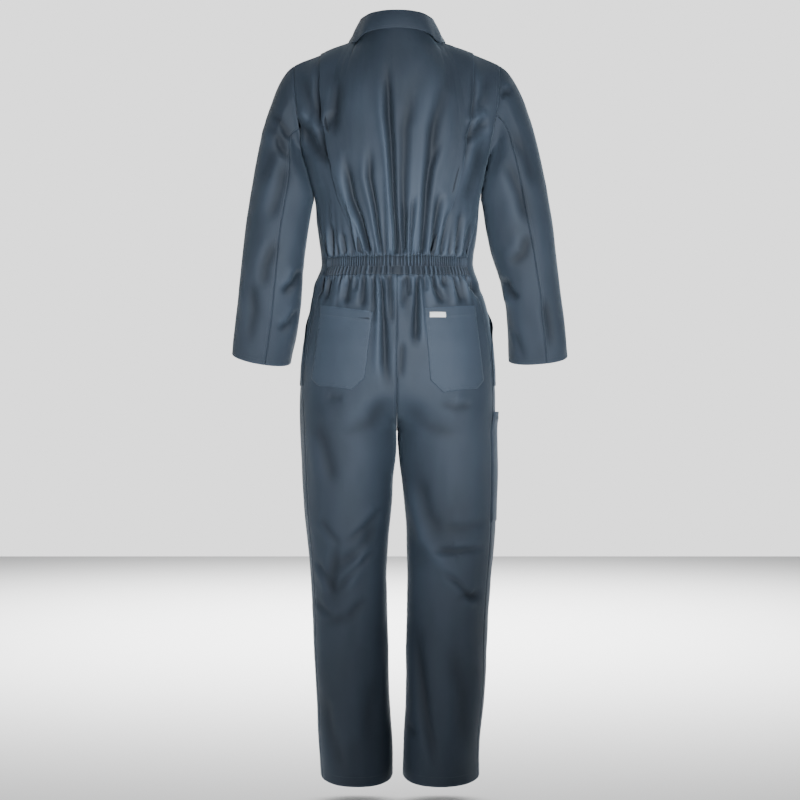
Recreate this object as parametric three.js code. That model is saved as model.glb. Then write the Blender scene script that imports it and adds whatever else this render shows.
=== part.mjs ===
// A work boiler suit, filled out as if it were worn, with nobody in it.
// Millimetres. +Z is up, the front faces -Y and the wearer's left is +X.
// The origin is the middle of the neck, level with the shoulders' highest points.
//
// Each panel is a thin wall. A smooth form gives a point and an outward normal for each
// place on the body, a leg or a sleeve. Folds move that point in or out, and the wall stands
// on it. Neighbouring panels share the form, so their edges follow each other at the seams.
import * as THREE from "three";

// Driving dimensions
const CLOTH = 1.6; // wall of one panel
const SEAM_GAP = 0.3; // between two panels that are sewn together
const TRIM = SEAM_GAP / 2; // what each panel gives up at a seam
const SLEEVE_TRIM = 0.5; // the same at a sleeve's seams, which turn sharply at the armhole
const ARMHOLE_GAP = 0.6; // from the true armhole to the sleeve
const SLEEVE_FLOW = 0.75; // least slope at which a sleeve runs on from a body panel
const ARMHOLE_ROWS = 8; // rows of a back or front above the armpit
const PATCH_GAP = 1; // between a panel and a patch sewn on it
const PATCH_CLOTH = 1.4; // wall of a patch pocket
const HEM_EXTRA = 0.8; // what a turned hem adds to a wall
const SQUARENESS = 2 / 2.4; // power of sine and cosine in a body section
const TUBE_SQUARENESS = 2 / 2.15; // the same in a leg or a sleeve
const NECK_HALF_WIDTH = 76;
const NECK_MIDDLE_Y = 2;
const NECK_BACK = 84; // from the middle of the neck to the nape
const NECK_FRONT = 86;
const SHOULDER_TIP = { x: 230, y: 0, z: -50 };
const HIGH_SHOULDER_Z = 8; // where the shoulder seam meets the neck
const ARMPIT_Z = -279;
const WAIST_TOP_Z = -484; // upper edge of the elastic casing
const WAIST_STITCH_Z = -507; // lower edge of the elastic
const WAIST_BOTTOM_Z = -525; // where the casing joins the legs
const CROTCH_START_Z = -760; // where the seat seam starts to curve under
const CROTCH_Z = -872;
const SEAT_FULLNESS = 0.55; // how far the cloth is pushed out between the seat and the legs
const HEM_Z = -1640;
const HEM_RISE_Z = -1500; // above this the rows of a leg are level
const HEM_DROP = 15; // the back of a hem hangs this much lower than its sides
const NECK_SHARE = 0.36; // share of a panel's top edge that is neckline
const NECK_EASE = 0.14; // share to each side over which the corner of the neck is eased

const COLOURS = { cloth: 0x3d4956, stud: 0x3a3f45, label: 0xe8ecee };
const SIDES = { left: 1, right: -1 };
const FACES = { back: 1, front: -1 };

// Outer sizes of the body by height: half widths on each side, and depths to each face.
const BODY = table(
  ["z", "left", "right", "back", "front"],
  [-279, 203, 199, 142, 138],
  [-313, 192, 192, 141, 138],
  [-350, 183, 187, 137, 135],
  [-400, 179, 183, 129, 129],
  [-450, 174, 177, 118, 121],
  [-484, 170, 172, 112, 116],
  [-507, 171, 173, 112, 116],
  [-525, 178, 179, 116, 118],
  [-560, 187, 190, 126, 122],
  [-600, 195, 202, 136, 124],
  [-650, 203, 210, 144, 124],
  [-700, 210, 216, 147, 122],
  [-760, 215, 220, 145, 120],
  [-820, 217, 222, 138, 118],
  [-872, 217, 222, 128, 116],
);

// Outer sizes of the legs by height, below the crotch.
const LEGS = table(
  ["z", "leftOuter", "leftInner", "rightOuter", "rightInner", "back", "front", "y"],
  [-700, 210, 0, 216, 0, 135, 120, 0],
  [-872, 217, 0, 222, 0, 128, 116, 0],
  [-918, 215, 1, 223, 3, 124, 113, 0],
  [-972, 213, 8, 223, 10, 119, 110, 1],
  [-1026, 210, 10, 222, 17, 114, 107, 2],
  [-1134, 199, 19, 218, 21, 106, 102, 3],
  [-1242, 192, 21, 209, 21, 100, 98, 2],
  [-1350, 188, 19, 203, 21, 96, 95, 0],
  [-1458, 183, 17, 198, 19, 93, 92, -2],
  [-1566, 174, 10, 187, 15, 91, 89, -3],
  [-1655, 170, 8, 184, 12, 90, 88, -3],
);

// Outer sizes of the sleeves by height of their middle, below the armpit.
const SLEEVES = table(
  ["z", "leftOuter", "leftInner", "rightOuter", "rightInner", "y", "depth"],
  [-350, 329, 189, 340, 190, 2, 70],
  [-440, 342, 202, 354, 206, 4, 68],
  [-530, 354, 212, 366, 234, -8, 62],
  [-620, 366, 223, 378, 249, -32, 54],
  [-705, 378, 240, 390, 254, -60, 46],
);

// The neck seam's height by angle from the nape round to the throat.
const NECKLINE = table(
  ["angle", "z"],
  [0, 25],
  [45, 21],
  [90, HIGH_SHOULDER_Z],
  [135, -30],
  [165, -64],
  [180, -72],
);

// Folds, as lines seen from the back or the front: where they start and end, how far to
// each side they reach and how deep they go. A negative height is a trough.
const BACK_FOLDS = table(
  ["x0", "z0", "x1", "z1", "width", "height"],
  [20, -60, 3, -484, 13, -7],
  [40, -150, 22, -484, 12, 4],
  [118, -165, 54, -484, 13, -6],
  [88, -260, 70, -484, 12, 4],
  [-44, -70, -12, -484, 14, -5],
  [-92, -150, -60, -484, 13, -6],
  [-70, -210, -40, -484, 12, 4],
  [-120, -190, -84, -484, 12, -4],
  [30, -525, 17, -790, 13, -8],
  [8, -540, 10, -740, 12, 3],
  [-45, -525, -42, -680, 12, -7],
  [66, -525, 54, -610, 12, -6],
  [104, -525, 110, -590, 12, -5],
  [-80, -525, -106, -600, 12, -6],
  [-124, -525, -140, -600, 12, -6],
  [176, -890, 138, -1010, 26, -6],
  [176, -1040, 118, -1190, 28, -6],
  [46, -1090, 150, -1290, 28, -6],
  [-26, -960, -70, -1190, 26, -6],
  [-60, -1140, -198, -1150, 26, -6],
  [-30, -1400, -100, -1640, 28, -5],
);
const FRONT_FOLDS = table(
  ["x0", "z0", "x1", "z1", "width", "height"],
  [74, -260, 56, -560, 18, -5],
  [124, -230, 96, -560, 18, -5],
  [-76, -270, -58, -560, 18, -5],
  [-124, -240, -98, -560, 18, -5],
  [50, -800, 150, -930, 22, -5],
  [-50, -800, -150, -930, 22, -5],
  [60, -1090, 170, -1150, 22, -5],
  [-64, -1080, -180, -1140, 22, -5],
  [120, -1440, 60, -1640, 22, -4],
  [-120, -1440, -70, -1640, 22, -4],
);

// How far a front reaches round past the side, as a share of a half back.
const FRONT_WRAP = table(
  ["z", "share"],
  [-279, 0],
  [-330, 0.06],
  [-400, 0.18],
  [-484, 0.3],
  [-525, 0.3],
  [-600, 0.24],
  [-700, 0.2],
  [-872, 0.17],
  [-1100, 0.17],
  [-1655, 0.12],
);

// The edge of the back's centre panel, which laps over the side panels as an action pleat.
const PLEAT_EDGE = table(
  ["z", "x"],
  [-24, 170],
  [-70, 169],
  [-146, 166],
  [-215, 156],
  [-283, 143],
  [-333, 131],
  [-376, 119],
  [-425, 100],
  [-484, 82],
);
const PLEAT_RISE = CLOTH + 0.5; // the centre panel lies this far above the side panels
const PLEAT_PUFF = 2.2; // and its edge stands this much further out

// Waist gathers
const GATHERS = 52;
const GATHER_HEIGHT = 1.2;

// Sleeves: where the hind seam runs and the seam at the front, in degrees round from the
// outside, and the way that the cloth leaves the armhole.
const HIND_SEAM = { left: 98, right: 77 };
const FORE_SEAM = 222;
const CAP = {
  top: { way: [0.87, 0, -0.49], lead: 56, land: 166, out: 0 },
  back: { way: [0.75, 0.45, -0.5], lead: 38, land: 90, out: 0 },
  under: { way: [0.33, 0, 0.94], lead: 36, land: 60, out: 23 },
  front: { way: [0.75, -0.45, -0.5], lead: 38, land: 90, out: 0 },
};

// Patches on the back of the legs, by their corners in the back view.
const BACK_POCKETS = {
  left: {
    innerTop: [52, -610],
    outerTop: [168, -593],
    innerLow: [73, -779],
    outerLow: [190, -770],
  },
  right: {
    innerTop: [60, -602],
    outerTop: [172, -594],
    innerLow: [75, -785],
    outerLow: [194, -776],
  },
};
const POCKET_CUT = 0.15; // share of a back pocket's height where its lower corners are cut
const POCKET_CUT_SIDE = 0.22; // share of its width that each cut takes
const POCKET_HEM = 24;
const LABEL = { innerTop: [71, -610], size: [37, 13], wall: 0.9 };
const RULE_POCKET = { top: -828, bottom: -1072, seamTurn: 0.012, width: 0.225, bulge: 3 };
const HIP_POCKET = {
  top: -536,
  mouthLow: -700,
  bottom: -770,
  innerShare: 0.4,
  mouthTopShare: 0.78,
  mouthLowShare: 1.15,
  gape: 4,
};

// Front placket and its press studs
const PLACKET = { halfWidth: 22, top: 1.97, bottom: -745, wall: 1.8 };
const STUD = { radius: 7.5, height: 2.6, rim: 0.8, gap: 0.9, count: 8, first: 1.69, last: -1.1 };

const COLLAR = { wall: 2, turn: 3.2, lift: 1.6, frontLift: 2.4 };
// By angle from the nape to the throat: the roll's height and its distance out from the neck
// seam, and the lower edge of the fall.
const COLLAR_LINE = table(
  ["angle", "rollZ", "standOut", "edgeX", "edgeY", "edgeZ"],
  [0, 60, -3, 0, 98, 19],
  [30, 59, -2, 50, 89, 15],
  [60, 54, 1, 87, 56, 8.5],
  [90, 44, 3, 104, 4, 6],
  [120, 22, 4, 106, -46, -6],
  [150, -16, 4, 88, -96, -62],
  [174, -52, 3, 62, -119, -128],
);

function table(columns, ...rows) {
  return rows.map((row) => Object.fromEntries(columns.map((name, i) => [name, row[i]])));
}

const lerp = (a, b, t) => a + (b - a) * t;
const clamp01 = (t) => Math.min(1, Math.max(0, t));
const smooth = (t) => clamp01(t) ** 2 * (3 - 2 * clamp01(t));
const rad = THREE.MathUtils.degToRad;
const power = (s, p) => Math.sign(s) * Math.abs(s) ** p;
const spread = (a, b, steps) => Array.from({ length: steps + 1 }, (_, i) => lerp(a, b, i / steps));
const vec = (x, y, z) => new THREE.Vector3(x, y, z);

// A smooth curve through one column of a table against another.
function curve(rows, along, value) {
  const sorted = [...rows].sort((a, b) => a[along] - b[along]);
  const xs = sorted.map((row) => row[along]);
  const ys = sorted.map((row) => row[value]);
  const last = xs.length - 1;
  const chord = (i) => (ys[i + 1] - ys[i]) / (xs[i + 1] - xs[i]);
  const slope = (i) => (chord(Math.max(0, i - 1)) + chord(Math.min(last - 1, i))) / 2;
  return (x) => {
    if (x <= xs[0]) return ys[0];
    if (x >= xs[last]) return ys[last];
    const i = xs.findIndex((limit) => limit >= x) - 1;
    const width = xs[i + 1] - xs[i];
    const t = (x - xs[i]) / width;
    const start = ys[i] + t * width * slope(i);
    const end = ys[i + 1] - (1 - t) * width * slope(i + 1);
    return lerp(start, end, smooth(t));
  };
}

const bodyHalf = { left: curve(BODY, "z", "left"), right: curve(BODY, "z", "right") };
const bodyDepth = { back: curve(BODY, "z", "back"), front: curve(BODY, "z", "front") };
const neckHeight = curve(NECKLINE, "angle", "z");
const pleatX = curve(PLEAT_EDGE, "z", "x");
const frontWrap = curve(FRONT_WRAP, "z", "share");

// Half of a level body section: share 0 is the middle of the back or front, and 1 the side.
function bodySection(z, side, face, share) {
  const turn = (share * Math.PI) / 2;
  return vec(
    (bodyHalf[side](z) - CLOTH) * power(Math.sin(turn), SQUARENESS),
    FACES[face] * (bodyDepth[face](z) - CLOTH) * power(Math.cos(turn), SQUARENESS),
    z,
  );
}

// A point of the neck seam, by angle from the nape.
function neckPoint(angle) {
  const back = Math.cos(rad(angle));
  return vec(
    NECK_HALF_WIDTH * Math.sin(rad(angle)),
    NECK_MIDDLE_Y + back * (back > 0 ? NECK_BACK : NECK_FRONT),
    neckHeight(angle),
  );
}

// The upper edge of a back or front: neckline, then shoulder seam.
function topEdge(face, share) {
  const size = Math.abs(share);
  if (size < NECK_SHARE) {
    const turn = (90 * size) / NECK_SHARE;
    const point = neckPoint(face === "back" ? turn : 180 - turn);
    point.x *= Math.sign(share) || 1;
    return point;
  }
  const along = (size - NECK_SHARE) / (1 - NECK_SHARE);
  const drop = HIGH_SHOULDER_Z - SHOULDER_TIP.z;
  return vec(
    Math.sign(share) * lerp(NECK_HALF_WIDTH, SHOULDER_TIP.x, along),
    lerp(NECK_MIDDLE_Y, SHOULDER_TIP.y, along),
    HIGH_SHOULDER_Z - drop * (0.75 * along + 0.25 * along ** 2),
  );
}

// The way that a panel arrives at its upper edge.
function topWay(face, share) {
  const size = Math.abs(share);
  const onNeck = smooth(size / NECK_SHARE);
  const along = (size - NECK_SHARE) / (1 - NECK_SHARE);
  const corner = rad(26) * (size < NECK_SHARE ? onNeck : 1 - smooth(along / 0.8));
  const onShoulder = lerp(0.5, 0.32, smooth(along));
  const rise = lerp(face === "back" ? 0.91 : 0.94, onShoulder, onNeck);
  const level = Math.sqrt(1 - rise ** 2);
  return vec(
    -Math.sign(share) * level * Math.sin(corner),
    -FACES[face] * level * Math.cos(corner),
    rise,
  );
}

// The upper edge and its way, both averaged to each side, so that the corner where the
// neckline meets the shoulder doesn't crease the panel below it.
function easedTop(face, share) {
  const ease = NECK_EASE * Math.min(1, (1 - Math.abs(share)) / 0.3);
  const places = [-1, -0.5, 0, 0.5, 1].map((step) => share + step * ease);
  const mean = (read) =>
    places.reduce((sum, at) => sum.addScaledVector(read(face, at), 1 / places.length), vec(0, 0, 0));
  return { edge: mean(topEdge), way: mean(topWay).normalize() };
}

// The body above the waist. Height 0 is the waist, 1 the armpit and 2 the upper edge.
function upperForm(side, face, share, height) {
  if (height <= 1) {
    return bodySection(lerp(WAIST_TOP_Z, ARMPIT_Z, height), side, face, share);
  }
  const start = bodySection(ARMPIT_Z, side, face, share);
  const end = topEdge(face, share);
  const { edge, way } = easedTop(face, share);
  const flare = 26 * Math.sign(share) * (start.x / bodyHalf[side](ARMPIT_Z)) ** 2;
  const onNeck = smooth(Math.abs(share) / NECK_SHARE);
  const rise = face === "front" ? lerp(66, 92, onNeck) : 92;
  const reach = face === "front" ? lerp(60, 84, onNeck) : lerp(72, 92, onNeck);
  const lead = start.clone().add(vec(flare, 0, rise));
  const land = edge.clone().addScaledVector(way, -reach);
  const atArmhole = smooth((Math.abs(share) - 0.68) / 0.32);
  const outward = Math.sign(share);
  const inset = face === "back" ? 0 : -10;
  const armLead = start.clone().add(vec(outward * (12 + inset), FACES[face] * 66, 44));
  const armLand = edge.clone().add(vec(outward * (2 + inset), FACES[face] * 74, -62));
  lead.lerp(armLead, atArmhole);
  land.lerp(armLand, atArmhole);
  const point = new THREE.CubicBezierCurve3(start, lead, land, edge).getPoint(height - 1);
  return point.addScaledVector(end.sub(edge), (height - 1) ** 8);
}

const legSize = Object.fromEntries(
  Object.keys(LEGS[0]).map((name) => [name, curve(LEGS, "z", name)]),
);

// A leg and its half of the seat. Share 0 is the seat seam, then the inside leg, and 1 is
// the outside leg.
function legForm(side, face, share, z) {
  const outer = (z > CROTCH_Z ? bodyHalf[side](z) : legSize[side + "Outer"](z)) - CLOTH;
  const inner = Math.max(0, legSize[side + "Inner"](z)) + CLOTH;
  const turn = Math.PI * share;
  const depth = legSize[face](z) - CLOTH;
  const middle = (outer + inner) / 2;
  const lobe = vec(
    middle - (outer - inner) / 2 * power(Math.cos(turn), TUBE_SQUARENESS),
    legSize.y(z) + FACES[face] * depth * power(Math.sin(turn), TUBE_SQUARENESS),
    z,
  );
  const under = clamp01((CROTCH_START_Z - z) / (CROTCH_START_Z - CROTCH_Z)) ** 2;
  if (under >= 1) return lobe;
  const point = bodySection(z, side, face, share).lerp(lobe, under);
  point.y *= 1 + SEAT_FULLNESS * under * (1 - under);
  return point;
}

// A place on the body or a leg. Level 0 is the waist, 1 the armpit and 2 the upper edge, and
// the levels go on below the waist at the same height each. A share past 1 is round the side.
const LEVEL = ARMPIT_Z - WAIST_TOP_Z;
const levelOf = (z) => (z - WAIST_TOP_Z) / LEVEL;
const heightOf = (level) => WAIST_TOP_Z + level * LEVEL;

function bodyForm(side, face, share, level) {
  if (share > 1 && level < 1) {
    return bodyForm(side, face === "back" ? "front" : "back", 2 - share, level);
  }
  const inside = Math.min(share, 1);
  if (level >= 0) return upperForm(side, face, inside, Math.min(level, 2));
  const z = heightOf(level);
  const point = legForm(side, face, inside, z);
  const nearHem = smooth((HEM_RISE_Z - z) / (HEM_RISE_Z - HEM_Z));
  point.z -= (HEM_DROP * nearHem * (point.y - legSize.y(z))) / legSize.back(z);
  return point;
}

const sleeveSize = Object.fromEntries(
  Object.keys(SLEEVES[0]).map((name) => [name, curve(SLEEVES, "z", name)]),
);
const SLEEVE_TOP_Z = SLEEVES[0].z;
const CUFF_Z = SLEEVES[SLEEVES.length - 1].z;

function sleeveMiddle(side, z) {
  const outer = sleeveSize[side + "Outer"](z);
  const inner = sleeveSize[side + "Inner"](z);
  return vec((outer + inner) / 2, sleeveSize.y(z), z);
}

// A point of a sleeve below the armpit, by angle from its outside round by the back.
function sleeveRing(side, angle, z) {
  const step = 12;
  const below = sleeveMiddle(side, Math.max(CUFF_Z, z - step));
  const above = sleeveMiddle(side, Math.min(SLEEVE_TOP_Z, z + step));
  const down = below.sub(above).normalize();
  const tilt = smooth((SLEEVE_TOP_Z - z) / (SLEEVE_TOP_Z - CUFF_Z) / 0.4);
  down.lerp(vec(0, 0, -1), 1 - tilt).normalize();
  const across = vec(1, 0, 0).addScaledVector(down, -down.x).normalize();
  const back = across.clone().cross(down);
  const half = (sleeveSize[side + "Outer"](z) - sleeveSize[side + "Inner"](z)) / 2 - CLOTH;
  const depth = sleeveSize.depth(z) - CLOTH;
  return sleeveMiddle(side, z)
    .addScaledVector(across, half * power(Math.cos(rad(angle)), TUBE_SQUARENESS))
    .addScaledVector(back, depth * power(Math.sin(rad(angle)), TUBE_SQUARENESS));
}

// The edge of a back or front at the armhole: its place, the wall's normal and the way out
// of the panel along its surface.
function armholeEdge(side, face, level) {
  const step = 0.004;
  const point = bodyForm(side, face, 1, level);
  const along = bodyForm(side, face, 1, level + step).sub(bodyForm(side, face, 1, level - step));
  along.normalize();
  const away = point.clone().sub(upperForm(side, face, 1 - step, level));
  const out = away.addScaledVector(along, -away.dot(along)).normalize();
  const normal = out.clone().cross(along).multiplyScalar(-FACES[face]);
  return { point, out, normal };
}

// The armhole by angle from the shoulder tip round by the back, straight between rows.
function armhole(side, angle) {
  const turn = ((angle % 360) + 360) % 360;
  const face = turn <= 180 ? "back" : "front";
  const place = (ARMHOLE_ROWS * (turn <= 180 ? turn : 360 - turn)) / 180;
  const row = Math.min(ARMHOLE_ROWS - 1, Math.floor(place));
  const at = (k) => {
    const level = 2 - k / ARMHOLE_ROWS;
    const edge = armholeEdge(side, face, level);
    if (k > 0 && k < ARMHOLE_ROWS) return edge;
    const other = armholeEdge(side, face === "back" ? "front" : "back", level);
    edge.out.add(other.out).normalize();
    edge.normal.add(other.normal).normalize();
    return edge;
  };
  const [above, below] = [at(row), at(row + 1)];
  for (const name of Object.keys(above)) above[name].lerp(below[name], place - row);
  return above;
}

// Cap values at an angle, mixed from the four ways in CAP.
function capAt(angle) {
  const across = Math.cos(rad(angle));
  const back = Math.sin(rad(angle));
  const near = across > 0 ? CAP.top : CAP.under;
  const far = back > 0 ? CAP.back : CAP.front;
  const mix = (name) => near[name] * across ** 2 + far[name] * back ** 2;
  const way = vec(...near.way).multiplyScalar(across ** 2);
  way.addScaledVector(vec(...far.way), back ** 2).normalize();
  return { way, lead: mix("lead"), land: mix("land"), out: mix("out") };
}

// A sleeve. Length 0 is the armhole, 1 is just below the armpit and 2 the cuff.
function sleeveForm(side, angle, length) {
  if (length > 1) {
    return sleeveRing(side, angle, lerp(SLEEVE_TOP_Z, CUFF_Z, length - 1));
  }
  const cap = capAt(angle);
  const edge = armhole(side, angle);
  const start = edge.point.addScaledVector(edge.out, ARMHOLE_GAP);
  const end = sleeveRing(side, angle, SLEEVE_TOP_Z);
  const next = sleeveRing(side, angle, SLEEVE_TOP_Z - 10);
  const down = next.sub(end).normalize();
  const rise = Math.abs(cap.way.dot(edge.normal));
  const short = Math.max(0, SLEEVE_FLOW * rise - cap.way.dot(edge.out));
  cap.way.addScaledVector(edge.out, short).normalize();
  const lead = start.clone().addScaledVector(cap.way, cap.lead);
  const land = end.clone().addScaledVector(down, -cap.land).add(vec(cap.out, 0, 0));
  return new THREE.CubicBezierCurve3(start, lead, land, end).getPoint(length);
}

// How far folds move the cloth out at a place in the back or front view.
function foldHeight(folds, x, z) {
  const atCasing = (level) => level === WAIST_TOP_Z || level === WAIST_BOTTOM_Z;
  return folds.reduce((height, fold) => {
    const run = vec(fold.x1 - fold.x0, 0, fold.z1 - fold.z0);
    const from = vec(x - fold.x0, 0, z - fold.z0);
    const along = from.dot(run) / run.lengthSq();
    if (along < -0.02 || along > 1.02) return height;
    const away = (from.x * run.z - from.z * run.x) / run.length();
    const starts = atCasing(fold.z0) ? 1 : smooth(along / 0.25);
    const ends = atCasing(fold.z1) ? 1 : smooth((1 - along) / 0.25);
    return height + fold.height * starts * ends * Math.exp(-((away / fold.width) ** 2));
  }, 0);
}

function foldsAt(point) {
  const back = smooth(point.y / 40 + 0.5);
  return lerp(foldHeight(FRONT_FOLDS, point.x, point.z), foldHeight(BACK_FOLDS, point.x, point.z),
    back);
}

// A point and outward normal of a form on one side, moved out by its folds.
function onForm(form, side, facing, folds) {
  const sign = SIDES[side];
  return (u, v) => {
    const step = 0.004;
    const across = form(u + step * facing.across, v).sub(form(u - step * facing.across, v));
    const up = form(u, v + step).sub(form(u, v - step));
    const normal = across.cross(up).multiplyScalar(facing.out).normalize();
    const point = form(u, v);
    const real = vec(point.x * sign, point.y, point.z);
    const out = vec(normal.x * sign, normal.y, normal.z);
    return { point: real.addScaledVector(out, folds(real)), normal: out };
  };
}

// The same for the body and legs.
function bodyPlace(side, face, folds = foldsAt) {
  const form = (share, level) => bodyForm(side, face, share, level);
  return onForm(form, side, { across: 1, out: -FACES[face] }, folds);
}

// A panel is a grid of points and normals, and can be read anywhere on its own triangles.
class Panel {
  constructor(place, us, vs) {
    this.us = us;
    this.vs = vs;
    this.cells = vs.map((v) => us.map((u) => place(u, v)));
  }

  // Draws the panel's edges in from its seams.
  trim(edges) {
    const rows = this.cells;
    const last = this.us.length - 1;
    const end = rows.length - 1;
    const pull = (cell, towards, by) => {
      const way = towards.point.clone().sub(cell.point).normalize();
      return { point: cell.point.clone().addScaledVector(way, by), normal: cell.normal };
    };
    if (edges.first) rows.forEach((row) => (row[0] = pull(row[0], row[1], edges.first)));
    if (edges.last) {
      rows.forEach((row) => (row[last] = pull(row[last], row[last - 1], edges.last)));
    }
    if (edges.low) {
      rows[0] = rows[0].map((cell, i) => pull(cell, rows[1][i], edges.low));
    }
    if (edges.high) {
      rows[end] = rows[end].map((cell, i) => pull(cell, rows[end - 1][i], edges.high));
    }
    return this;
  }

  // The panel's surface at a place, that far out from its inner face.
  at(u, v, out) {
    const find = (list, value) => {
      const rising = list[1] > list[0];
      const passed = list.findIndex((limit) => (rising ? limit >= value : limit <= value));
      const i = Math.min(list.length - 2, Math.max(0, (passed < 0 ? list.length : passed) - 1));
      return [i, clamp01((value - list[i]) / (list[i + 1] - list[i]))];
    };
    const [j, s] = find(this.us, u);
    const [i, t] = find(this.vs, v);
    const corner = (row, column) => {
      const cell = this.cells[row][column];
      return cell.point.clone().addScaledVector(cell.normal, out);
    };
    const near = corner(i, j);
    const far = corner(i + 1, j + 1);
    const side = s >= t ? corner(i, j + 1) : corner(i + 1, j);
    const [toSide, toFar] = s >= t ? [s - t, t] : [t - s, s];
    return near.multiplyScalar(1 - toSide - toFar).addScaledVector(side, toSide)
      .addScaledVector(far, toFar);
  }

  normalAt(u, v) {
    return this.at(u, v, 1).sub(this.at(u, v, 0)).normalize();
  }

  // The outer and inner faces of the panel's wall.
  faces(inner, outer) {
    const face = (out) =>
      this.cells.map((row, i) =>
        row.map((cell, j) => cell.point.clone().addScaledVector(cell.normal, out(i, j))),
      );
    return [face(outer), face(inner)];
  }
}

// One closed mesh between two faces that are grids of the same size.
function shell(outer, inner) {
  const rows = outer.length;
  const columns = outer[0].length;
  const points = [...outer.flat(), ...inner.flat()];
  const at = (layer, i, j) => layer * rows * columns + i * columns + j;
  const triangles = [];
  const quad = (a, b, c, d) => triangles.push([a, b, c], [a, c, d]);
  for (let i = 0; i + 1 < rows; i++) {
    for (let j = 0; j + 1 < columns; j++) {
      quad(at(0, i, j), at(0, i, j + 1), at(0, i + 1, j + 1), at(0, i + 1, j));
      triangles.push([at(1, i, j), at(1, i + 1, j + 1), at(1, i, j + 1)]);
      triangles.push([at(1, i, j), at(1, i + 1, j), at(1, i + 1, j + 1)]);
    }
    quad(at(0, i, 0), at(0, i + 1, 0), at(1, i + 1, 0), at(1, i, 0));
    quad(at(1, i, columns - 1), at(1, i + 1, columns - 1), at(0, i + 1, columns - 1),
      at(0, i, columns - 1));
  }
  for (let j = 0; j + 1 < columns; j++) {
    quad(at(1, 0, j), at(1, 0, j + 1), at(0, 0, j + 1), at(0, 0, j));
    quad(at(0, rows - 1, j), at(0, rows - 1, j + 1), at(1, rows - 1, j + 1), at(1, rows - 1, j));
  }
  return facingOut(points, triangles);
}

// A geometry from points and triangles, turned so that it encloses a positive volume.
function facingOut(points, triangles) {
  const volume = triangles.reduce((sum, [a, b, c]) => {
    const normal = points[b].clone().cross(points[c]);
    return sum + points[a].dot(normal);
  }, 0);
  const turned = volume < 0 ? triangles.map(([a, b, c]) => [a, c, b]) : triangles;
  const geometry = new THREE.BufferGeometry();
  geometry.setAttribute(
    "position",
    new THREE.Float32BufferAttribute(points.flatMap((p) => [p.x, p.y, p.z]), 3),
  );
  geometry.setIndex(turned.flat());
  geometry.computeVertexNormals();
  return geometry;
}

const suit = new THREE.Group();
const finishes = Object.fromEntries(
  Object.entries(COLOURS).map(([name, color]) => [
    name,
    new THREE.MeshStandardMaterial({
      color,
      roughness: name === "stud" ? 0.35 : 0.75,
      metalness: name === "stud" ? 0.8 : 0,
    }),
  ]),
);

function add(name, geometry, finish = "cloth") {
  const mesh = new THREE.Mesh(geometry, finishes[finish]);
  mesh.name = name;
  suit.add(mesh);
  return mesh;
}

function addWall(name, panel, inner, outer, finish) {
  const asFunction = (value) => (typeof value === "function" ? value : () => value);
  add(name, shell(...panel.faces(asFunction(inner), asFunction(outer))), finish);
  return panel;
}

// The share of a half back at which a row meets the pleat's edge.
function pleatShare(side, level) {
  let [low, high] = [0.2, 0.95];
  for (let i = 0; i < 30; i++) {
    const middle = (low + high) / 2;
    const point = upperForm(side, "back", middle, level);
    if (point.x < pleatX(point.z)) low = middle;
    else high = middle;
  }
  return low;
}

const upperRows = [...spread(0, 1, 6), ...spread(1, 2, ARMHOLE_ROWS).slice(1)];
const lowerRows = [
  HEM_Z, -1570, -1470, -1370, -1270, -1170, -1080, -1000, -940, -900, -872, -850, -825,
  -795, -760, -720, -675, -630, -585, -550, WAIST_BOTTOM_Z,
].map(levelOf);

// Keeps a face's points on their own side of the middle.
function keepToSide(face, side) {
  for (const point of face.flat()) {
    point.x = SIDES[side] * Math.max(TRIM, point.x * SIDES[side]);
  }
}

// Back: a centre panel whose side edges lap over two side panels. Column 1 is the pleat's
// edge and 2 the armhole or side seam; the side panels start one pleat's width below it.
function addBack() {
  const places = { left: bodyPlace("left", "back"), right: bodyPlace("right", "back") };
  const place = (column, level) => {
    const side = column >= 0 ? "left" : "right";
    const size = Math.abs(column);
    const pleat = pleatShare(side, level);
    const seam = 1 - frontWrap(level < 1 ? heightOf(level) : ARMPIT_Z);
    const share = size <= 1 ? size * pleat : lerp(pleat, seam, size - 1);
    return places[side](share, level);
  };
  const columns = spread(-1, 1, 30);
  const centre = new Panel(place, columns, upperRows).trim({ low: TRIM, high: TRIM });
  const standing = (i, j) => {
    const nearEdge = smooth((Math.abs(columns[j]) - 0.8) / 0.2);
    return PLEAT_RISE + PLEAT_PUFF * nearEdge * Math.sin((Math.PI * upperRows[i]) / 2);
  };
  addWall("back_centre", centre, standing, (i, j) => standing(i, j) + CLOTH);
  for (const [side, sign] of Object.entries(SIDES)) {
    const under = columns.filter((column) => column > 0.85 && column < 1);
    const across = [...under, ...spread(1, 2, 6)].map((column) => column * sign);
    const edges = sign > 0 ? { last: TRIM } : { first: TRIM };
    if (sign < 0) across.reverse();
    const panel = new Panel(place, across, upperRows).trim({ low: TRIM, high: TRIM, ...edges });
    addWall("back_side_" + side, panel, 0, CLOTH);
  }
}

// Fronts run from the shoulder to the hem in one piece.
function addFronts() {
  const panels = {};
  for (const side of Object.keys(SIDES)) {
    const place = bodyPlace(side, "front");
    const panel = new Panel(
      (across, level) => {
        const wrap = level < 1 ? frontWrap(heightOf(level)) : 0;
        return place(across * (1 + wrap), level);
      },
      spread(0, 1, 12),
      [...lowerRows, ...upperRows],
    ).trim({ high: TRIM, first: TRIM, last: TRIM });
    panels[side] = addHalf("front_" + side, panel, side);
  }
  return panels;
}

// A wall that ends at the middle of the suit.
function addHalf(name, panel, side) {
  const faces = panel.faces(() => 0, () => CLOTH);
  faces.forEach((face) => keepToSide(face, side));
  add(name, shell(...faces));
  return panel;
}

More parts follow.
